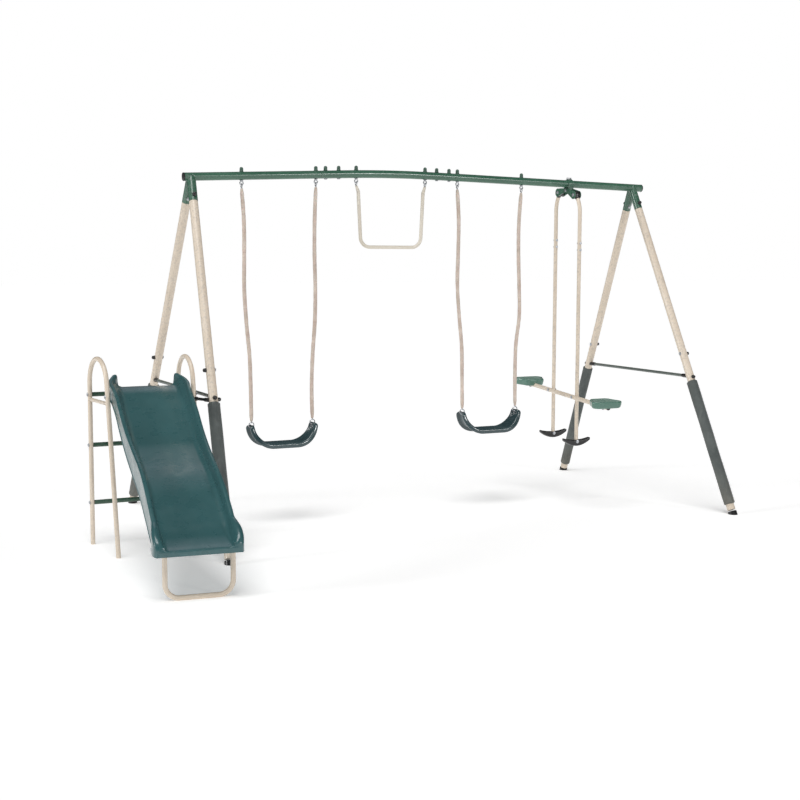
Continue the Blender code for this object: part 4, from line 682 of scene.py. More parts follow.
def make_legs():
    """Two-piece legs with their bolts, padded sleeves and rubber feet."""
    steel, black = Shape(), Shape()
    for name, side, face in LEGS:
        seam = leg_distance(side, face, LEG_SEAM_HEIGHT)
        end = leg_distance(side, face, LEG_END_HEIGHT)
        upper, lower = Shape(), Shape()
        leg_tube(upper, side, face, SOCKET_LENGTH - SPIGOT_LENGTH, SOCKET_LENGTH, SPIGOT_RADIUS)
        leg_tube(upper, side, face, SOCKET_LENGTH + SEAM_GAP, seam - SEAM_GAP, LEG_RADIUS)
        place(f"upper_leg_{name}_tube", upper, "tan_paint", f"upper_leg_{name}")
        leg_tube(lower, side, face, seam + SEAM_GAP, end, LEG_RADIUS)
        leg_tube(lower, side, face, seam - SPIGOT_LENGTH, seam + 0.01, SPIGOT_RADIUS)
        place(f"lower_leg_{name}_tube", lower, "tan_paint", f"lower_leg_{name}")
        bolt = leg_at(side, face, seam - LEG_BOLT_ABOVE_SEAM)
        bolt_through(steel, black, bolt, X * side, LEG_RADIUS, LEG_CAP_HEIGHT)
        make_pad(name, side, face)
        soften(f"foot_cap_{name}", "black_plastic", 0.0012)
    place("leg_bolt_heads", steel, "zinc_steel")
    place("leg_cap_nuts", black, "black_plastic")


def make_pad(name, side, face):
    """Foam sleeve in a sewn cover: soft rolled ends, a stitched seam, shallow folds."""
    bottom = leg_at_height(side, face, PAD_BOTTOM)
    top = leg_at_height(side, face, PAD_TOP)
    length = (top - bottom).length
    along = (top - bottom).normalized()
    across = square_to(X, along)
    outward = along.cross(across)
    inner = LEG_RADIUS + 0.0006
    loops = []
    for distance in spread(0, length, 150):
        edge = min(distance, length - distance)
        roll = min(1.0, edge / 0.007)
        radius = inner + (PAD_RADIUS - inner) * sqrt(max(0.0, 1 - (1 - roll) ** 2))
        gather = exp(-edge / 0.03)
        hem = 0.0009 * bell(edge, 0.022, 0.0022)
        loop = []
        for j in range(56):
            angle = tau * j / 56
            turn = (angle - face * pi / 2 + pi) % (tau) - pi
            groove = 0.0012 * bell(turn, 0, 0.055)
            lips = 0.0007 * bell(abs(turn), 0.15, 0.07)
            stitch = 0.0003 * cos(distance * tau / 0.009) * bell(turn, 0, 0.16)
            c, s = cos(angle), sin(angle)
            spot = Vector((c * 1.3, s * 1.3, distance * 5 + side * 7 + face * 3))
            fold = noise.noise(spot) * 0.0012
            pleat = gather * 0.0007 * cos(angle * 11 + 1.5 * sin(distance * 60))
            r = radius + (fold + pleat + lips + stitch - groove - hem) * roll
            loop.append(bottom + along * distance + (across * c + outward * s) * max(r, inner))
        loops.append(loop)
    node = f"leg_pad_{name}"
    place(f"{node}_cover", Shape().loft(loops), "pad_foam", node, sharp=80)


def make_crossbars():
    """Crossbars with black plugs that hug the legs, and their cap nuts."""
    caps = Shape()
    for name, side in SIDES:
        middle = leg_at_height(side, 1, CROSSBAR_HEIGHT)
        skin = LEG_RADIUS / cos(atan(FOOT_Y / bar_point(side * APEX_X).z))
        reach = middle.y - skin - PLUG_LENGTH
        bar = Shape()
        bar.tube([Vector((middle.x, y, middle.z)) for y in (-reach, 0, reach)], CROSSBAR_RADIUS, X)
        place(f"crossbar_{name}_tube", bar, "slate_paint", f"crossbar_{name}")
        plugs = Shape()
        starts = ((-0.006, 0.0088), (-0.005, 0.01), (0.006, PLUG_RADIUS))
        tips = ((-0.01, PLUG_RADIUS), (0.002, 0.0125), (0.006, 0.0122))
        stops = [(reach + y, r) for y, r in starts]
        stops += [(reach + PLUG_LENGTH + y, r) for y, r in tips]
        for face in (-1, 1):
            path = [Vector((middle.x, face * y, middle.z)) for y, _ in stops]
            plugs.rod(path, [r for _, r in stops], X)
            end = leg_at_height(side, face, CROSSBAR_HEIGHT)
            caps.cap(end + Y * (face * skin), Y * face, LEG_CAP_HEIGHT)
        place(f"crossbar_{name}_plugs", plugs, "black_plastic")
    place("crossbar_cap_nuts", caps, "black_plastic")


def hinge_point(x):
    """Where something hangs from the eye bolt at x."""
    return bar_point(x) - Z * HINGE_DROP


def ring_centre(x):
    """Centre of the ring that hangs in the eye bolt at x."""
    return hinge_point(x) + Z * (RING_RISE - RING_RADIUS)


def make_eye_bolts():
    """Eye bolts through the bar, each with a collar below it and a cap nut on top."""
    caps = Shape()
    room = HINGE_DROP - 2 * EYE_RADIUS - BAR_RADIUS
    profile = [(0.0032, 0.0), (0.004, 0.0018), (0.0075, 0.0024), (0.0075, room - 0.0018)]
    profile += [(0.0098, room - 0.0016), (0.0098, room - 0.0002)]
    hangers = sorted([*SWINGS[0][1], *TRAPEZE_HANGERS, *SWINGS[1][1]])
    for number, x in enumerate(hangers, 1):
        hinge = hinge_point(x)
        eye = Shape().ring(hinge + Z * EYE_RADIUS, Y, EYE_RADIUS, EYE_WIRE)
        eye.turned(hinge + Z * (2 * EYE_RADIUS), Z, profile, 24)
        place(f"eye_bolt_{number}_piece", eye, "zinc_steel", f"eye_bolt_{number}")
        caps.cap(bar_point(x) + Z * BAR_RADIUS, Z)
    place("hanger_cap_nuts", caps, "green_plastic")


# ---------------------------------------------------------------- swings and trapeze
def seat_station(distance):
    """Sling path at a distance from its middle: across, up, and the angle of its slope."""
    sign = copysign(1, distance)
    run = abs(distance)
    bend = SEAT_BEND * SEAT_BEND_ANGLE
    angle = min(max(run - SEAT_FLAT, 0) / SEAT_BEND, SEAT_BEND_ANGLE)
    across = min(run, SEAT_FLAT) + SEAT_BEND * sin(angle)
    up = SEAT_BEND * (1 - cos(angle))
    tail = max(run - SEAT_FLAT - bend, 0)
    across += tail * cos(angle)
    up += tail * sin(angle)
    return sign * across, up, sign * angle


SEAT_REACH = SEAT_FLAT + SEAT_BEND * SEAT_BEND_ANGLE + SEAT_TAIL


def seat_section(distance):
    """Sling section (across the seat, below the path): ribbed top, rounded rims, hollow back."""
    last = seat_station(SEAT_REACH)[0]
    taper = max(0.0, (abs(seat_station(distance)[0]) - SEAT_FLAT) / (last - SEAT_FLAT))
    to_end = SEAT_REACH - abs(distance)
    roundness = sqrt(max(0.0, 1 - max(0.0, 1 - to_end / 0.018) ** 2))
    half = (SEAT_WIDTH + (SEAT_END_WIDTH - SEAT_WIDTH) * taper**3) / 2
    half *= 0.72 + 0.28 * roundness
    flange = SEAT_SKIN + (SEAT_FLANGE - SEAT_SKIN) * (0.15 + 0.85 * roundness)
    grid = 0.5 + 0.5 * cos(distance * tau / 0.011)
    bent = clamp((abs(distance) - 0.06) / 0.03) * min(1.0, to_end / 0.03)
    top = []
    for u in spread(-1, 1, 60):
        rib = (0.5 + 0.5 * cos(u * pi * 10)) ** 2 * (1 - 0.2 * bent * grid)
        top.append((u * (half - 0.013), 0.0026 + 0.0016 * (1 - u * u) - 0.002 * rib * roundness))
    rim = (
        (0.012, SEAT_SKIN), (0.01, SEAT_SKIN + 0.003), (0.009, flange - 0.0015),
        (0.0065, flange), (0.0025, flange), (0.0006, flange - 0.002), (0.0, flange - 0.006),
        (0.0, 0.011), (0.0006, 0.005), (0.003, 0.0014), (0.007, 0.0), (0.0105, 0.001),
    )
    left = [(inward - half, below) for inward, below in rim]
    return left + top + [(-a, b) for a, b in reversed(left)]


def make_swing(name, hangers, ends, seat_height, sways):
    """One sling swing: its moulded seat, the seat's grommets, and two sleeved chains."""
    middle = Vector((sum(ends) / 2, 0, seat_height))
    loops = []
    for u in spread(-1, 1, 150):
        across, up, angle = seat_station(SEAT_REACH * u)
        outward = Vector((sin(angle), 0, -cos(angle)))
        point = middle + Vector((across, 0, up))
        loops.append([point + Y * a + outward * b for a, b in seat_section(SEAT_REACH * u)])
    place(f"{name}_sling", Shape().loft(loops), "seat_plastic", f"{name}_seat", name, 60)
    grommets = Shape()
    for (side, sign), x, sway in zip(SIDES, hangers, sways):
        across, up, angle = seat_station(sign * SEAT_REACH)
        outward = Vector((sin(angle), 0, -cos(angle)))
        along = Vector((cos(angle), 0, sin(angle))) * sign
        hole = middle + Vector((across, 0, up)) + outward * (SEAT_SKIN / 2)
        for face in (-1, 1):
            skin = hole - along * 0.0135 + outward * (face * SEAT_SKIN * 0.42)
            grommets.ring(skin, outward, 0.0068, 0.0016, turns=24, sides=8)
        make_chain(f"{name}_chain_{side}", name, hole, x, sway)
    place(f"{name}_grommets", grommets, "zinc_steel", body=name)


def smooth_route(route, steps):
    """Points of a smooth curve through a route."""
    stops = [route[0], *route, route[-1]]
    points = []
    for before, start, end, after in zip(stops, stops[1:], stops[2:], stops[3:]):
        first = start + (end - before) / 6
        second = end - (after - start) / 6
        points += interpolate_bezier(start, first, second, end, steps + 1)[:-1]
    return points + [route[-1]]


def make_chain(name, body, hole, x, sway):
    """Sleeved chain: rings and bare links at both ends, and a creased sleeve between them."""
    start = hole + Z * SEAT_RING_RADIUS
    end = ring_centre(x) - Z * RING_RADIUS
    shares = spread(0, 1, len(sway) + 1)[1:-1]
    route = [start.lerp(end, t) + X * offset for t, offset in zip(shares, sway)]
    path = smooth_route([start, *route, end], 20)
    path = [p for p in path if min((p - start).length, (p - end).length) > CHAIN_BARE]
    runs = [0.0]
    for a, b in zip(path, path[1:]):
        runs.append(runs[-1] + (b - a).length)
    length = runs[-1]
    radii = []
    for run in runs:
        grown = min(1.0, min(run, length - run) / CHAIN_TAPER)
        taper = CHAIN_END_RADIUS + (CHAIN_RADIUS - CHAIN_END_RADIUS) * grown
        crease = noise.noise(Vector((x * 31, 0, run * 34))) * 0.0007
        crease += noise.noise(Vector((x * 31, 5, run * 9))) * 0.0006
        radii.append(taper + crease - 0.0002)
    radii[0] -= 0.0012
    radii[-1] -= 0.0012
    links = Shape()
    links.ring(hole, Y, SEAT_RING_RADIUS, RING_WIRE)
    links.ring(ring_centre(x), X, RING_RADIUS, RING_WIRE)
    for tip, inner, axis in ((start, path[0], X), (end, path[-1], Y)):
        toward = (inner - tip).normalized()
        links.ring(tip + toward * 0.0045, axis, 0.003, 0.0013, toward * 0.005, 24, 8)
    links = place(f"{name}_links", links, "zinc_steel", body=body)
    sleeve = Shape().rod(path, radii, Y, 24)
    place(f"{name}_sleeve", sleeve, "chain_sleeve", name, body, 70)


def make_trapeze():
    """Trapeze: a bent tube with flattened ends and a ring at each."""
    top, bottom = TRAPEZE_HALVES
    high, low = TRAPEZE_HEIGHTS
    lean = atan((top - bottom) / (high - low))
    corner = (bottom - TRAPEZE_CORNER, low + TRAPEZE_CORNER)
    outline = [(top, high)] + arc(corner, TRAPEZE_CORNER, -pi / 2, -lean, 14)[::-1]
    path = [Vector((TRAPEZE_X + a, 0, z)) for a, z in mirrored(outline)]
    bar = Shape().rod(path, [TRAPEZE_RADIUS] * len(path), Y)
    stops = (  # share of the way to the ring, half width, half thickness
        (0.0, 0.0095, 0.0095), (0.1, 0.0098, 0.0088), (0.3, 0.0096, 0.005),
        (0.5, 0.009, 0.0028), (0.86, 0.008, 0.0024), (0.97, 0.0056, 0.0023),
        (1.0, 0.003, 0.0021),
    )
    rings = Shape()
    for side, x in zip((-1, 1), TRAPEZE_HANGERS):
        foot = Vector((TRAPEZE_X + side * top, 0, high))
        tip = Vector((x, 0, ring_centre(x).z - RING_RADIUS + 0.001))
        bar.loft([circle(foot.lerp(tip, t), X * a, Y * b, 1, 24) for t, a, b in stops])
        rings.ring(ring_centre(x), X, RING_RADIUS, RING_WIRE)
    place("trapeze_tube", bar, "cream_paint", "trapeze_bar", "trapeze", 60)
    place("trapeze_rings", rings, "zinc_steel", body="trapeze")


# ---------------------------------------------------------------- glider
def bracket_point(out, up):
    """Point of the glider's bracket, which is turned a little on the round bar."""
    y = out * cos(GLIDER_TILT) - up * sin(GLIDER_TILT)
    z = out * sin(GLIDER_TILT) + up * cos(GLIDER_TILT)
    return Vector((GLIDER_X, y, bar_point(GLIDER_X).z + z))


def arm_bend(face):
    """Points of an arm's axis from its pivot to the end of its bend; face is the Y sign."""
    pivot = bracket_point(face * PIVOT_OUT, -PIVOT_DROP)
    points = []
    for t in spread(1, 0, 14):
        angle = ARM_START_ANGLE * t
        out = ARM_BEND * (cos(angle) - cos(ARM_START_ANGLE))
        down = ARM_BEND * (sin(ARM_START_ANGLE) - sin(angle))
        points.append(pivot + Vector((0, face * out, -down)))
    return points


def arm_at(face, below):
    """Point on the straight stretch of an arm, measured down from its pivot."""
    bend = arm_bend(face)
    return Vector((GLIDER_X, bend[-1].y, bend[0].z - below))


def make_bracket():
    """Saddle and lobed plates, with the bolts that hold them."""
    for node in ("glider_plate_left", "glider_plate_right", "glider_saddle"):
        soften(node, "green_paint", 0.0008)
    steel = Shape()
    for out, up in ((-PIVOT_OUT, -PIVOT_DROP), (PIVOT_OUT, -PIVOT_DROP), (0, -0.0345)):
        steel.heads(bracket_point(out, up), X, PLATE_GAP / 2 + 0.003)
    for x in (GLIDER_X - 0.0095, GLIDER_X + 0.0095):
        saddle_top = bar_point(x) + Z * (BAR_RADIUS + 0.0042)
        steel.head(saddle_top, Z)
        steel.cap(saddle_top, Z, 0.013, 0.0055)
    place("glider_bracket_bolts", steel, "zinc_steel")


def make_arm(name, face):
    """One swinging arm: bearing, bent upper tube, lower tube, footrest and bolts."""
    body = f"glider_{name}_arm"
    bend = arm_bend(face)
    pivot = bend[0]
    bend[0] = pivot + Vector((0, -face * 0.01, 0.01))
    upper = Shape().tube(bend + [arm_at(face, ARM_SEAM - SEAM_GAP)], ARM_RADIUS, X)
    collar = [arm_at(face, ARM_SEAM - d) for d in (0.012, 0.011, 0.0035, 0.0025)]
    upper.rod(collar, [0.0108, 0.0116, 0.0116, 0.0108], X)
    place(f"{body}_upper", upper, "tan_paint", f"{body}_upper_tube", body)
    lower = Shape().tube([arm_at(face, d) for d in (ARM_SEAM, ARM_LENGTH)], ARM_RADIUS, X)
    place(f"{body}_lower", lower, "tan_paint", f"{body}_lower_tube", body)
    half = PLATE_GAP / 2 - 0.0006
    profile = [(0.015, -half), (0.021, -half + 0.001), (0.0222, -half + 0.004)]
    profile += [(0.0222, half - 0.004), (0.021, half - 0.001), (0.015, half)]
    bearing = Shape().turned(pivot, X, profile, 32)
    down = Vector((0, face * 0.7071, -0.7071))
    neck = [pivot + down * d for d in (0.0, 0.02, 0.03, 0.0315)]
    bearing.rod(neck, [0.015, 0.0148, 0.0134, 0.012], X)
    place(f"{body}_bearing", bearing, "black_plastic", body=body)
    reach = PLATE_GAP / 2 + 0.004
    profile = [(0.0034, 0), (0.0036, 0.0004), (0.0036, 2 * reach)]
    pin = Shape().turned(pivot - X * reach, X, profile)
    place(f"glider_{name}_pivot_pin", pin, "zinc_steel", f"glider_{name}_pivot_bolt")
    steel = Shape()
    for distance in (0.018, 0.056):
        steel.heads(arm_at(face, ARM_SEAM - distance), Y, ARM_RADIUS, washer=False)
    steel.heads(arm_at(face, ARM_LENGTH - 0.012), Y, FOOTREST_DEPTH / 2 - 0.0006)
    place(f"{body}_bolts", steel, "zinc_steel", body=body)
    make_footrest(body, face)


def make_footrest(body, face):
    """Crescent footrest with rounded edges and grip grooves across its top."""
    top = arm_at(face, ARM_LENGTH) + Z * FOOTREST_SOCKET
    half = FOOTREST_WIDTH / 2
    loops = []
    for u in spread(-1, 1, 90):
        end = sqrt(max(0.0, 1 - max(0.0, (abs(u) - 0.93) / 0.07) ** 2))
        thick = FOOTREST_TIP + (FOOTREST_MIDDLE - FOOTREST_TIP) * (1 - u * u)
        groove = 0.0
        if 0.2 < abs(u) < 0.9:
            groove = 0.0012 * max(0.0, cos(u * half * tau / 0.0085))
        depth = FOOTREST_DEPTH / 2 * (0.35 + 0.65 * end)
        tall = thick / 2 * (0.25 + 0.75 * end)
        middle = FOOTREST_RISE * u * u - thick / 2
        loop = []
        for j in range(32):
            angle = tau * (j + 0.5) / 32
            c, s = cos(angle), sin(angle)
            a = depth * copysign(abs(c) ** 0.45, c)
            b = tall * copysign(abs(s) ** 0.45, s) - (groove if s > 0.2 else 0.0)
            loop.append(top + X * (u * half) + Y * a + Z * (middle + b))
        loops.append(loop)
    rest = Shape().loft(loops)
    place(f"{body}_rest", rest, "black_plastic", f"{body}_footrest", body, 60)


def make_beam():
    """Beam beside the arms, its pivot bolts and end plugs, and the two seats."""
    body = "glider_beam"
    front, rear = [arm_at(face, BEAM_BELOW_PIVOT) for face in (-1, 1)]
    along = (rear - front).normalized()
    up = X.cross(along)
    offset = X * -(ARM_RADIUS + BEAM_RADIUS + BEAM_CLEARANCE)
    middle = (front + rear) / 2 + offset
    ends = [middle - along * BEAM_FRONT, middle + along * BEAM_REAR]
    place("glider_beam_tube", Shape().tube(ends, BEAM_RADIUS, X), "tan_paint", body, body)
    spacer, plugs = Shape(), Shape()
    washer = [(0.0095, 0), (0.0095, BEAM_CLEARANCE)]
    plug = [(0.0112, -0.008), (0.0126, 0.0), (0.0122, 0.0014), (0.008, 0.0022)]
    for (name, face), point, end in zip(ENDS, (front, rear), ends):
        bolt = Shape()
        bolt.head(point + offset - X * BEAM_RADIUS, -X)
        bolt.head(point + X * ARM_RADIUS, X, washer=False)
        place(f"glider_beam_{name}_bolt", bolt, "zinc_steel", f"glider_beam_bolt_{name}", body)
        spacer.turned(point - X * (ARM_RADIUS + BEAM_CLEARANCE), X, washer, 24)
        plugs.turned(end, along * face, plug, 24)
    place("glider_beam_spacers", spacer, "black_plastic", body=body)
    place("glider_beam_plugs", plugs, "black_plastic", body=body)
    for (name, face), end in zip(ENDS, ends):
        seat_centre = end - along * (face * (GSEAT_DEPTH / 2 - 0.01))
        make_glider_seat(name, seat_centre, face, along, up)


def make_glider_seat(name, centre, face, along, up):
    """Moulded seat with a rolled rim, a dished top and grip ribs."""
    inner, outer, deep = GSEAT_INNER / 2, GSEAT_WIDTH / 2, GSEAT_DEPTH / 2
    corner = GSEAT_CORNER
    low = corner - deep
    outline = [(0.0, -deep), (inner * 0.35, -deep)]
    outline += arc((inner - corner, low), corner, -pi / 2, -0.15, 9)
    outline += [(inner + (outer - inner) * t, low * (1 - 2 * t)) for t in (0.2, 0.5, 0.8)]
    outline += arc((outer - corner, -low), corner, 0.1, pi / 2, 9)
    outline = mirrored(outline + [(outer * 0.35, deep), (0.0, deep)])
    levels = [  # height, scale
        (-0.002, 0.88), (0.001, 0.935), (0.006, 0.965), (0.014, 0.985), (0.022, 0.997),
        (0.028, 1.000), (0.0325, 0.99), (0.0352, 0.968), (0.036, 0.938), (0.0352, 0.905),
        (0.033, 0.87),
    ]
    for step in range(1, 9):
        levels.append((0.033 - 0.0022 * (1 - (1 - step / 8) ** 2), 0.87 * (1 - step / 8.6)))
    loops = []
    for level, scale in levels:
        middle = centre + up * level
        loops.append([middle + (X * a + along * (face * b)) * scale for a, b in outline])
    shape = Shape().loft(loops)
    for i in range(-3, 4):
        ridge = centre + X * (i * 0.019) + up * 0.0314
        path = [ridge + along * (deep * 0.62 * t) for t in (-1, -0.94, 0, 0.94, 1)]
        shape.rod(path, [0.0004, 0.0016, 0.0018, 0.0016, 0.0004], X, 10)
    body = "glider_beam"
    place(f"glider_{name}_seat", shape, "glider_plastic", f"glider_seat_{name}", body, 50)
    steel = Shape().head(centre - up * (BEAM_RADIUS + 0.0005), -up)
    place(f"glider_{name}_seat_bolt", steel, "zinc_steel", body=body)


# ---------------------------------------------------------------- ladder and slide
def side_frame_path():
    """Ladder side (forward, up): rear foot, arch, front foot; forward is towards the slide."""
    centre = (ARCH_RADIUS, LADDER_TOP - ARCH_RADIUS)
    lean = atan2(LADDER_SPREAD - 2 * ARCH_RADIUS, centre[1]) * 1.02
    foot = (LADDER_SPREAD, POST_RADIUS * sin(lean))
    return [(0, 0), *arc(centre, ARCH_RADIUS, pi, lean, 26), foot]


def side_vector(side):
    """Level direction from a ladder side's rear post to its front post."""
    turn = LADDER_TOE_IN if side < 0 else 0.0
    return Vector((sin(turn), -cos(turn), 0))


def rear_post(side, height=0.0):
    """Point on the axis of a ladder side's rear post."""
    return Vector((LADDER_XS[0 if side < 0 else 1], LADDER_REAR_Y, height))


def front_post(side, height):
    """Point on the axis of a ladder side's front post."""
    top, foot = side_frame_path()[-2:]
    reach = foot[0] + (top[0] - foot[0]) * (height - foot[1]) / (top[1] - foot[1])
    return rear_post(side) + side_vector(side) * reach + Z * height


def make_ladder():
    """Two arched side frames, their struts and bolts, and three rungs."""
    steel = Shape()
    for name, side in SIDES:
        forward, base = side_vector(side), rear_post(side)
        normal = forward.cross(Z)
        arch = [base + forward * a + Z * z for a, z in side_frame_path()]
        shape = Shape().tube(arch, POST_RADIUS, normal)
        strut = [rear_post(side, STRUT_HEIGHT), front_post(side, STRUT_HEIGHT)]
        shape.rod(strut, [STRUT_RADIUS] * 2, normal)
        for end, other in (strut, strut[::-1]):
            toward = (other - end).normalized()
            bead = end + toward * (POST_RADIUS - 0.0006)
            shape.ring(bead, toward, STRUT_RADIUS + 0.0004, 0.0016)
        place(f"ladder_side_{name}_tube", shape, "tan_paint", f"ladder_side_{name}")
        outward = slide_across() * side
        steel.head(front_post(side, DECK_BOLT_HEIGHT) + outward * POST_RADIUS, outward)
        for _, height in RUNGS:
            steel.head(rear_post(side, height) + X * (side * POST_RADIUS), X * side)
    for name, height in RUNGS:
        left = rear_post(-1, height) + X * (POST_RADIUS + 0.0003)
        right = rear_post(1, height) - X * (POST_RADIUS + 0.0003)
        rung = Shape().tube([left, left.lerp(right, 0.5), right], RUNG_RADIUS)
        for i in range(1, 20):
            grip = left.lerp(right, 0.08 + 0.84 * i / 20)
            rung.ring(grip, X, RUNG_RADIUS - 0.0004, 0.0009, turns=28, sides=8)
        place(f"ladder_rung_{name}_tube", rung, "rung_paint", f"ladder_rung_{name}")
    place("ladder_bolt_heads", steel, "zinc_steel")


def slide_across():
    """Level direction across the slide."""
    return Vector((cos(SLIDE_TURN), sin(SLIDE_TURN), 0))


def slide_along():
    """Level direction down the slide."""
    return Vector((sin(SLIDE_TURN), -cos(SLIDE_TURN), 0))


def slide_point(across, along, z):
    """Point in the slide's own directions."""
    return Vector((SLIDE_X, SLIDE_Y, 0)) + slide_across() * across + slide_along() * along + Z * z


def slide_value(along, column):
    """Value of a SLIDE_SHAPE column at a distance down the slide, on a smooth curve."""
    rows = SLIDE_SHAPE
    i = 0
    while i < len(rows) - 2 and rows[i + 1][0] < along:
        i += 1
    before = rows[max(i - 1, 0)]
    start = rows[i]
    end = rows[i + 1]
    after = rows[min(i + 2, len(rows) - 1)]
    span = end[0] - start[0]
    slope_start = (end[column] - before[column]) / (end[0] - before[0])
    slope_end = (after[column] - start[column]) / (after[0] - start[0])
    t = (along - start[0]) / span
    return (
        start[column] * (1 + 2 * t) * (1 - t) ** 2
        + slope_start * span * t * (1 - t) ** 2
        + end[column] * t**2 * (3 - 2 * t)
        + slope_end * span * t**2 * (t - 1)
    )


def slide_section(along, depth):
    """Half section (across, above the floor), from the floor's middle over the rail and back."""
    half, rail, skirt = [slide_value(along, column) for column in (2, 3, 4)]
    floor = min(SLIDE_FLOOR_HALF, half - SLIDE_WALL)
    t = SLIDE_SKIN
    lobe = clamp((along - 1.075) / 0.055) ** 2  # how far the rail has swollen into the exit's ears
    dent = 0.0035 * (1 - lobe)
    under = [
        (half, -skirt),
        (half - t, -skirt),
        (half - t - 0.001, -skirt + 0.004),
        (half - t - 0.0025, 0.0),
        (half - 0.016, rail - 0.012),
        (floor + 0.01, -depth + 0.004),
    ]
    if depth > SLIDE_SKIN:
        under = [(half + a, -depth) for a in (0.0, -t, -t - 0.001, -t - 0.002, -0.016)]
        under.append((floor + 0.01, -depth))
    return [
        (0.0, 0.0012),
        (floor * 0.5, 0.0008),
        (floor - 0.026, 0.0000),
        (floor - 0.014, 0.0006),
        (floor - 0.002, 0.005),
        (floor + 0.004 - 0.003 * lobe, 0.012),
        *[(half - a - da * lobe, rail - b - db * lobe) for a, da, b, db in SLIDE_RAIL],
        (half - dent, rail - 0.0195 - 0.003 * lobe),
        (half - dent, min(rail - 0.03, rail / 3)),
        (half - 0.003 * (1 - lobe), -skirt * 0.5),
        (half - 0.0015 * (1 - lobe), -skirt + 0.008),
        (half, -skirt + 0.004),
        *under,
        (floor, -depth),
        (floor * 0.5, -depth),
        (0.0, -depth),
    ]


def rounded(section, steps=5):
    """Smooth curve through a section's points, kept inside their corners."""
    stops = [Vector((a, 0, b)) for a, b in section]
    stops = [stops[0], *stops, stops[-1]]
    points = []
    for before, start, end, after in zip(stops, stops[1:], stops[2:], stops[3:]):
        reach = (end - start).length / 3
        first = start + (end - before).normalized() * reach
        second = end - (after - start).normalized() * reach
        points += interpolate_bezier(start, first, second, end, steps + 1)[:-1]
    return [(p.x, p.z) for p in points] + [section[-1]]


def make_slide():
    """Moulded chute with rolled rails and a turned-down lip, its screws, and its base loop."""
    end = SLIDE_LENGTH
    lip = end - LIP_THICKNESS
    skin = [0.0, 0.0015, 0.004, 0.008, *spread(0.014, lip - 0.004, 130), lip - 0.0015]
    stations = [(along, SLIDE_SKIN) for along in skin]
    turned = (lip, lip + 0.0015, end - 0.004, end - 0.0015, end)
    stations += [(along, LIP_DEPTH) for along in turned]
    loops = []
    for along, depth in stations:
        height = slide_value(along, 1)
        inset = 0.0016 * max(0.0, 1 - min(along, end - along) / 0.004) ** 2
        loop = []
        for a, b in mirrored(rounded(slide_section(along, depth))):
            loop.append(slide_point(a, along, height + b - (inset if b > -0.002 else -inset)))
        loops.append(loop)
    place("slide_chute", Shape().loft(loops), "slide_plastic", "slide", sharp=50)
    corner = (BASE_HALF - BASE_CORNER, BASE_RADIUS + BASE_CORNER)
    outline = [(BASE_HALF, BASE_TOP)] + arc(corner, BASE_CORNER, -pi / 2, 0, 14)[::-1]
    path = [slide_point(a + BASE_SHIFT, BASE_ALONG, z) for a, z in mirrored(outline)]
    base = Shape().tube(path, BASE_RADIUS, slide_along())
    place("slide_base_loop", base, "tan_paint", "slide_base")
    screws = Shape()
    middle = slide_point(0, BASE_ALONG, BASE_BOLT_HEIGHT)
    screws.heads(middle, slide_across(), slide_value(BASE_ALONG, 2) - 0.0022)
    place("slide_screws", screws, "zinc_steel")


def make_tie():
    """Short black tie from the ladder to the frame's front left leg, with thickened ends."""
    post = front_post(1, TIE_HEIGHT)
    leg = leg_at_height(-1, -1, TIE_HEIGHT)
    end = leg - X * (LEG_RADIUS + TIE_RADIUS / 2)
    direction = (end - post).normalized()
    start = post + direction * (POST_RADIUS * 1.12 + 0.0003)
    run = end + direction * 0.004 - start
    shares = (0.0, 0.01 / run.length, 0.016 / run.length, 0.75, 0.76, 1.0)
    radii = [TIE_RADIUS * r for r in (1.0, 1.0, 0.72, 0.72, 1.0, 1.0)]
    tie = Shape().rod([start + run * t for t in shares], radii)
    tie.cap(leg + X * LEG_RADIUS, X, LEG_CAP_HEIGHT)
    place("ladder_tie_bar", tie, "black_plastic", "ladder_tie")


# ---------------------------------------------------------------- camera, floor and light
def make_camera():
    """Camera at the photographed angle."""
    focal, x, y, z, yaw, pitch, roll = 1363.35, -3.4036, -6.7058, 1.4054, 0.4494, 0.1055, 0.0029
    sensor, picture = 36, 800
    data = bpy.data.cameras.new("camera")
    data.sensor_width = sensor
    data.lens = focal * sensor / picture
    level = cos(pitch)
    forward = Vector((sin(yaw) * level, cos(yaw) * level, -sin(pitch)))
    right = Vector((cos(yaw), -sin(yaw), 0))
    up = right.cross(forward)
    across = right * cos(roll) + up * sin(roll)
    over = up * cos(roll) - right * sin(roll)
    basis = Matrix((across, over, -forward)).transposed().to_4x4()
    camera = link("camera", data)
    camera.matrix_world = Matrix.Translation(Vector((x, y, z)) + SHIFT) @ basis
    bpy.context.scene.camera = camera


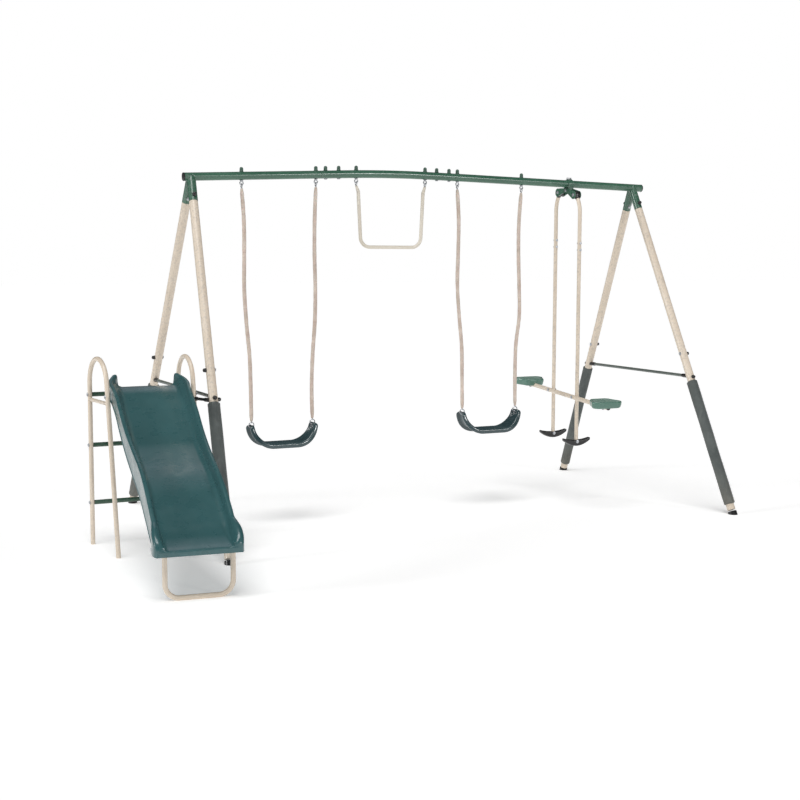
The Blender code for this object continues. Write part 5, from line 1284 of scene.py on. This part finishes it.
def make_floor():
    """Plain pale floor that glows a little, so that it fades into the white background."""
    size = 60
    mesh = bpy.data.meshes.new("floor")
    corners = [(-size, -size, 0), (size, -size, 0), (size, size, 0), (-size, size, 0)]
    mesh.from_pydata(corners, [], [(0, 1, 2, 3)])
    material = bpy.data.materials.new("floor")
    material.use_nodes = True
    for key, value in (
        ("Base Color", (0.93, 0.93, 0.93, 1)),
        ("Roughness", 0.9),
        ("Emission Color", (1, 1, 1, 1)),
        ("Emission Strength", 0.34),
        ("Specular IOR Level", 0.1),
    ):
        material.node_tree.nodes["Principled BSDF"].inputs[key].default_value = value
    mesh.materials.append(material)
    link("floor", mesh)


def make_light():
    """White behind the set, a world that is darker at the front, and three soft suns."""
    world = bpy.data.worlds.new("studio")
    bpy.context.scene.world = world
    world.use_nodes = True
    tree = world.node_tree
    room = tree.nodes["Background"]
    kinds = ("Background", "LightPath", "MixShader", "TexCoord", "SeparateXYZ", "MapRange")
    backdrop, seen, choice, direction, parts, depth = [
        tree.nodes.new("ShaderNode" + kind) for kind in kinds
    ]
    backdrop.inputs["Color"].default_value = (1, 1, 1, 1)
    backdrop.inputs["Strength"].default_value = 1.0
    for key, value in (("From Min", -0.7), ("From Max", 0.6), ("To Min", 0.52), ("To Max", 1.1)):
        depth.inputs[key].default_value = value
    for source, target in (
        (direction.outputs["Generated"], parts.inputs["Vector"]),
        (parts.outputs["Y"], depth.inputs["Value"]),
        (depth.outputs["Result"], room.inputs["Strength"]),
        (seen.outputs["Is Camera Ray"], choice.inputs["Fac"]),
        (room.outputs["Background"], choice.inputs[1]),
        (backdrop.outputs["Background"], choice.inputs[2]),
        (choice.outputs["Shader"], tree.nodes["World Output"].inputs["Surface"]),
    ):
        tree.links.new(source, target)
    for name, energy, angle, toward in (
        ("top", 2.0, 40, (-0.25, -0.35, 1.0)),
        ("side", 0.9, 14, (-1.0, 0.05, 0.28)),
        ("front", 0.55, 9, (0.43, -0.887, 0.25)),
    ):
        light = bpy.data.lights.new(name, "SUN")
        light.energy = energy
        light.angle = radians(angle)
        link(name, light).rotation_euler = Vector(toward).to_track_quat("Z", "Y").to_euler()
    bpy.context.scene.view_settings.view_transform = "Standard"


make_camera()
make_floor()
make_light()
for swing in SWINGS:
    make_swing(*swing)
make_top_bar()
make_legs()
make_crossbars()
make_eye_bolts()
make_trapeze()
make_bracket()
for end_name, end_face in ENDS:
    make_arm(end_name, end_face)
make_beam()
make_ladder()
make_slide()
make_tie()
